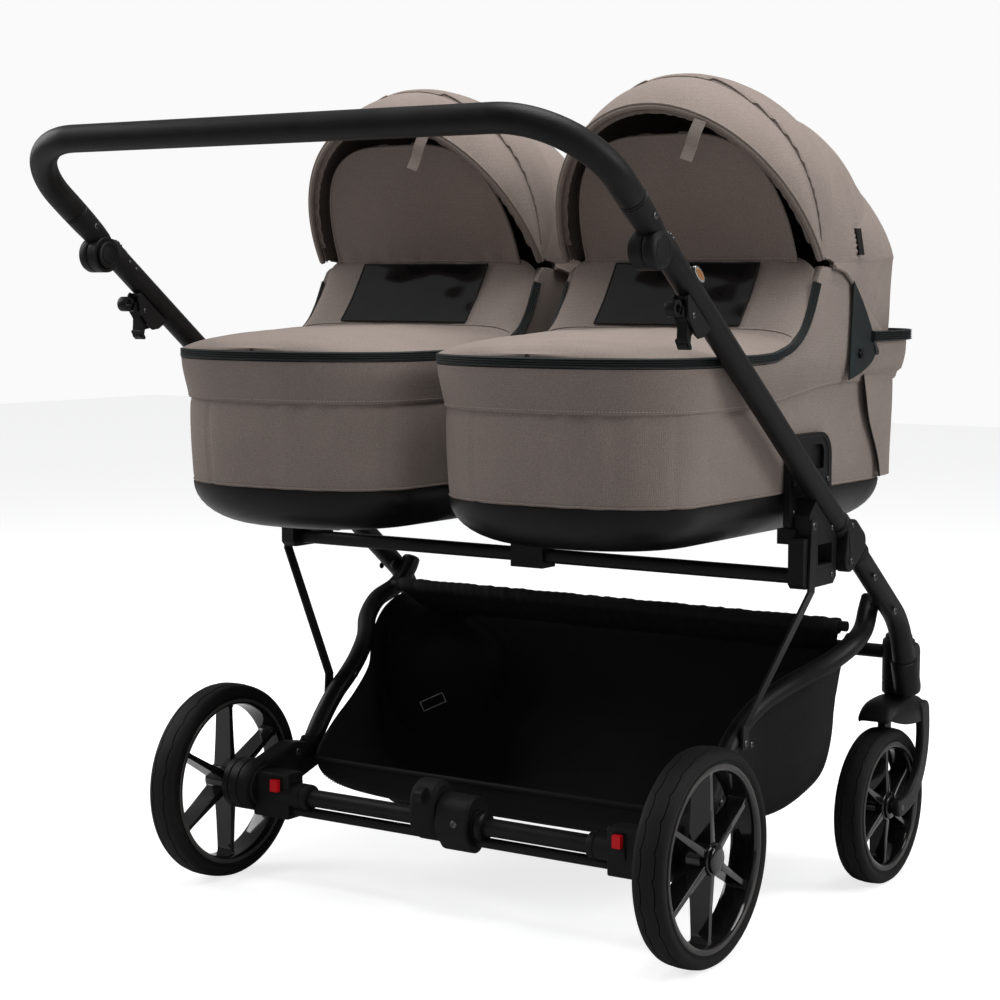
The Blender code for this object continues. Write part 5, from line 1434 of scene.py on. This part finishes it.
side_stitches = joined(side_row, mirrored(side_row))
zip_slider = prism(hull([(0.376, 0.6965, 0.003), (0.379, 0.6925, 0.0026)], 24), 0.179, 0.183)
zip_tab = cut(prism(hull([(0.38, 0.6905, 0.0022), (0.385, 0.6815, 0.0038)], 28), 0.1815, 0.1832),
              prism(hull([(0.3852, 0.6813, 0.002)], 20), 0.17, 0.19))
puller = joined(zip_slider, zip_tab)


def pocket():
    """The side pocket's loose front layer, from its slanted dark edge round to the head."""
    rows = []
    for share in (k / 20 for k in range(21)):
        z = 0.6535 - 0.129 * share
        start = 0.363 + 0.0635 * ease(share * 0.92) + 0.004 * sin(share * 9) * (1 - share)
        row = []
        for j in range(25):
            y = start + (0.49 - start) * j / 24
            x = 0.1667 + 0.003 * ease((z - 0.53) / 0.1) + 0.0042 * exp(-j / 5.0) * (1 - 0.6 * share)
            turn = min(max((y - 0.425) / HEAD_ROUND, 0.0), 1.0)
            x -= TUB_HALF * (1 - (1 - turn ** 2.6) ** (1 / 2.6))
            row.append(Vector((x, y, z)))
        rows.append(row)
    return rows


pocket_rows = pocket()
pocket_sheet = thick(pocket_rows, 0.0012)
pockets = joined(pocket_sheet, mirrored(pocket_sheet))
pocket_edge = tube([row[0] + Vector((0.0006, 0, 0)) for row in pocket_rows], 0.0013, (1, 0, 0), 10)
pocket_edges = joined(pocket_edge, mirrored(pocket_edge))
right_seam = [p for p in trace(hood, seam_one, 0.0) if p.x > 0.1]
tab_low, tab_high = (min(right_seam, key=lambda p: abs(p.z - z)) for z in (0.801, 0.831))
tab_section = ((0.005, -0.0036), (0.009, 0.0018), (0.008, 0.0042), (-0.0006, 0.0004))
label_tab = grid([[tab_low.lerp(tab_high, k / 8) + Vector((x, y, 0)) for x, y in tab_section]
                  for k in range(9)], True, True)
strap_mesh, strap_lines = strap_loop()

for side, sign in (("_R", 1), ("_L", -1)):
    cot, bow = "cot" + side, "bow" + side
    cloth = (cot, bow, (sign * COT_X, AXLE_Y + 0.47, 0.8), (sign * COT_X, AXLE_Y + 0.15, 0.935))

    def put(name, mesh, body, material, replaces=(), **how):
        return add(name + side, moved(mesh, sign), body, material, tuple(n + side for n in replaces), **how)

    put("tray_bowl", tray, cot, TRAY, ("cot_tray",), slot="satin_plastic")
    put("latch_plates", plates, cot, PLASTIC, bevel=0.0016, slot="satin_plastic")
    put("latch_screws", plate_screws, cot, STEEL)
    padding = put("tub_fabric", fabric, cot, TAUPE, ("cot_body",), slot="taupe_cloth", sharp=60)
    put("tub_band_stitches", band_stitches, cot, THREAD)
    put("tub_hem", tub_hem, cot, TAUPE)
    put("zip_apron", main_tape, cot, ZIP, sharp=70)
    put("zip_head", head_tape, cot, ZIP, sharp=70)
    put("zip_piping", piping, cot, BLACK_CLOTH)
    put("zip_puller", puller, cot, STEEL, bevel=0.0004)
    cover = put("apron_cover", apron_cover, cot, TAUPE, ("cot_apron",), slot="taupe_cloth", sharp=70)
    put("apron_crease", crease, cot, TAUPE)
    put("apron_window", film_sheet, cot, WINDOW, slot="gloss_black")
    put("apron_window_border", film_border, cot, BLACK_CLOTH)
    put("wind_panel", wind_panel, cot, TAUPE, slot="taupe_cloth", sharp=70)
    put("wind_panel_binding", panel_binding, cot, TAUPE)
    put("wind_panel_stitches", base_stitches, cot, THREAD)
    put("hood_wings", wings, cot, WING, bevel=0.0006)
    put("hood_knobs", knobs, cot, PLASTIC, bevel=0.0008)
    put("side_stitches", side_stitches, cot, THREAD)
    put("side_pocket", pockets, cot, TAUPE, sharp=60)
    put("side_pocket_edge", pocket_edges, cot, BLACK_CLOTH)
    canopy = put("hood_canopy", canopy_sheet, cloth, TAUPE, ("cot_hood",), slot="taupe_cloth", sharp=70)
    # The hood's lining and seam lines take the darkened taupe: painted shade inside the hood and in the seam
    # grooves
    put("hood_lining", lining_sheet, cloth, TAUPE_SHADED, sharp=70)
    put("hood_seams", seam_tubes, cloth, TAUPE_SHADED)
    put("hood_visor_edge", visor_tube, cloth, TAUPE)
    put("hood_label", label_tab, cloth, BLACK_CLOTH)
    put("hood_hem", hem_roll, cot, TAUPE)
    put("hood_front_hem", front_hem, bow, TAUPE, ("hood_bow",), slot="taupe_cloth")
    # The ruffle under the hem and the strap's stitches also take the darkened taupe, as painted shade
    put("hood_ruffle", ruffle, bow, TAUPE_SHADED, sharp=70)
    put("hood_strap", strap_mesh, bow, TAUPE)
    put("hood_strap_stitches", strap_lines, bow, TAUPE_SHADED)


# Basket

BASKET = ((0.0745, 0.258, 0.15, 0.153), (0.078, 0.262, 0.124, 0.152), (0.1, 0.272, 0.104, 0.163),
          (0.14, 0.281, 0.095, 0.186), (0.19, 0.286, 0.088, 0.215), (0.235, 0.296, 0.083, 0.243),
          (0.27, 0.318, 0.082, 0.262), (0.305, 0.34, 0.086, 0.282), (0.345, 0.351, 0.1, 0.308),
          (0.385, 0.345, 0.122, 0.324), (0.42, 0.328, 0.152, 0.316), (0.449, 0.304, 0.196, 0.3),
          (0.4525, 0.3, 0.292, 0.299))
CASTOR_TOP = 0.244
CASTOR_REACH = hypot(SWIVEL.y - FRONT_WHEEL.y + FRONT_WHEEL.z, FRONT_WIDTH / 2) + 0.0045


def clear_of_castors(p):
    """Pushes a point out of the drum that a castor sweeps, so the cloth curves round it."""
    middle = Vector((copysign(SWIVEL.x, p.x), SWIVEL.y, p.z))
    away = p - middle
    reach = CASTOR_REACH * sqrt(max(0.0, 1 - max(0.0, (p.z - CASTOR_TOP) / 0.045) ** 2))
    return middle + away.normalized() * max(reach, away.length)


def basket_rows():
    """The hanging cloth: (y, half width, lowest, highest) at stations, smoothed between."""
    path = curve([(y, half, low) for y, half, low, _ in BASKET], 6)
    tops = curve([(y, high, 0) for y, _, _, high in BASKET], 6)
    rows = []
    for (y, half, low), top in zip(path, tops):
        row = []
        for k in range(81):
            turn = pi * k / 80
            p = Vector((half * signed(cos(turn), 0.4), y, top.y - (top.y - low) * sin(turn) ** 0.4))
            soft = 0.004 * ripple(*p * 7) + 0.0018 * ripple(p.x * 22, y * 22, p.z * 20)
            hang = arch((y - 0.0745) / 0.378) ** 0.4 * sin(turn) ** 0.3
            inward = (Vector((0, y, top.y)) - p).normalized()
            row.append(clear_of_castors(p + inward * abs(soft) * hang))
        rows.append(row)
    return rows


def front_sheet():
    """The front wall, gathered on the sleeve round the bar and running down to the basket's nose."""
    rows = []
    for share in (k / 18 for k in range(19)):
        y, z = 0.3685 + 0.0775 * share ** 1.15, 0.337 - 0.041 * share - 0.012 * arch(share)
        row = []
        for a in (j / 60 for j in range(-60, 61)):
            pleat = 0.0022 * sin(a * 74 + 2.2 * sin(a * 13)) * (1 - share) ** 1.5
            row.append(Vector(((0.342 - 0.042 * share) * a, y + pleat, z)))
        rows.append(row)
    return rows


def bar_sleeve():
    rings = []
    for x in (0.343 * j / 120 for j in range(-120, 121)):
        ring = []
        for a, b in ring_of(1.0, 20):
            r = 0.0098 + 0.0005 * sin(x * 150 + 3.0 * sin(x * 37) + 1.5 * a)
            r += 0.0003 * sin(x * 470 + b)
            ring.append(Vector((x, BAR.y + r * a, BAR.z + r * b)))
        rings.append(ring)
    return grid(rings, True, True)


basket = basket_rows()
basket_piece = add("basket_cloth", thick(basket, 0.0022), "rear_frame", BLACK_CLOTH, ("basket",),
                   slot="black_cloth", sharp=60)
add("basket_sleeve", bar_sleeve(), "rear_frame", BLACK_CLOTH, slot="black_cloth", sharp=70)
add("basket_front_wall", thick(front_sheet(), 0.0016), "rear_frame", BLACK_CLOTH, sharp=70)
rims = [tube([row[c] for row in basket[6:-6]], 0.0032, sides=12) for c in (0, -1)]
rims.append(tube([p - Vector((0, 0.0008, 0)) for p in basket[0]], 0.0032, (0, 0, 1), 12))
add("basket_hems", joined(*rims), "rear_frame", BLACK_CLOTH, slot="black_cloth")
second = next(row for row in basket if row[40].y > 0.088)
line = stitches([p - Vector((0, 0.001, 0.0004)) for p in second[4:-4]], 0.004, 0.6, 0.0005)
add("basket_stitches", line, "rear_frame", BLACK_THREAD)


def woven_label():
    """A blank label sewn to the cloth where it hangs nearest a place, and the line round it."""
    place = Vector((-0.297, 0.392, 0.18))
    r, c = min(((r, c) for r in range(2, len(basket) - 2) for c in range(2, 79)),
               key=lambda at: (basket[at[0]][at[1]] - place).length)
    along = (basket[r + 2][c] - basket[r - 2][c]).normalized()
    up = basket[r][c - 2] - basket[r][c + 2]
    up = (up - along * up.dot(along)).normalized()
    if up.z < 0:
        up.negate()
    face = along.cross(up).normalized()
    if face.x < 0:
        face.negate()
    low, high = ([basket[r][c] + face * 0.004 + along * a + up * b for a in (-0.017, 0.017)]
                 for b in (-0.0068, 0.0068))
    corners = [low[0], low[1], high[1], high[0]]
    edges = [tube([a, b], 0.00055, face, 8) for a, b in zip(corners, corners[1:] + corners[:1])]
    return thick([low, high], 0.0005), joined(*edges)


patch, outline = woven_label()
add("label_patch", patch, "rear_frame", BLACK_CLOTH)
add("label_outline", outline, "rear_frame", WHITE_THREAD)


# Floor, lights and world

floor = bpy.data.objects.new("floor", grid([[Vector((x, y, 0)) for x in (-9, 9)] for y in (-9, 9)]))
scene.collection.objects.link(floor)
made, tree, shader = material_of("floor")
to_camera = node_in(tree, "LightPath", {}, "Is Camera Ray")
glow = node_in(tree, "Math", {0: to_camera, 1: 0.75}, "Value", operation="MULTIPLY")
feed(tree, shader, {"Base Color": (0.55, 0.55, 0.555, 1), "Roughness": 0.9,
                    "Emission Color": (1, 1, 1, 1), "Emission Strength": glow})
floor.data.materials.append(made)

# White where the camera looks past the pram or through it, and dimmer where it lights the pram
world = bpy.data.worlds.new("studio")
scene.world = world
world.use_nodes = True
tree = world.node_tree
dim = tree.nodes["Background"]
feed(tree, dim, {"Color": (0.97, 0.98, 1.0, 1), "Strength": 0.23})
white = node_in(tree, "Background", {"Color": (1, 1, 1, 1), "Strength": 0.955}, "Background")
kinds = tree.nodes.new("ShaderNodeLightPath").outputs
seen = node_in(tree, "Math", {0: kinds["Is Camera Ray"], 1: kinds["Is Transmission Ray"]}, "Value",
               operation="MAXIMUM")
sky = node_in(tree, "MixShader", {0: seen, 1: dim.outputs[0], 2: white}, "Shader")
feed(tree, tree.nodes["World Output"], {"Surface": sky})


def lamp(name, place, target, size, power):
    data = bpy.data.lights.new(name, "AREA")
    data.shape = "RECTANGLE"
    data.size, data.size_y = size
    data.energy = power
    made = bpy.data.objects.new(name, data)
    scene.collection.objects.link(made)
    made.location = place
    made.rotation_euler = (Vector(target) - Vector(place)).to_track_quat("-Z", "Y").to_euler()


lamp("overhead", (0.35, -0.1, 3.3), (0, 0, 0.5), (2.2, 2.2), 100)
lamp("left", (-3.1, -0.5, 1.9), (0, 0, 0.6), (1.6, 2.0), 52)
lamp("right", (3.2, 0.9, 2.0), (0, 0, 0.5), (1.6, 2.0), 60)
lamp("camera_side", (1.9, -3.2, 1.5), (0, 0, 0.5), (1.6, 1.6), 3)
scene.view_settings.view_transform = "Standard"
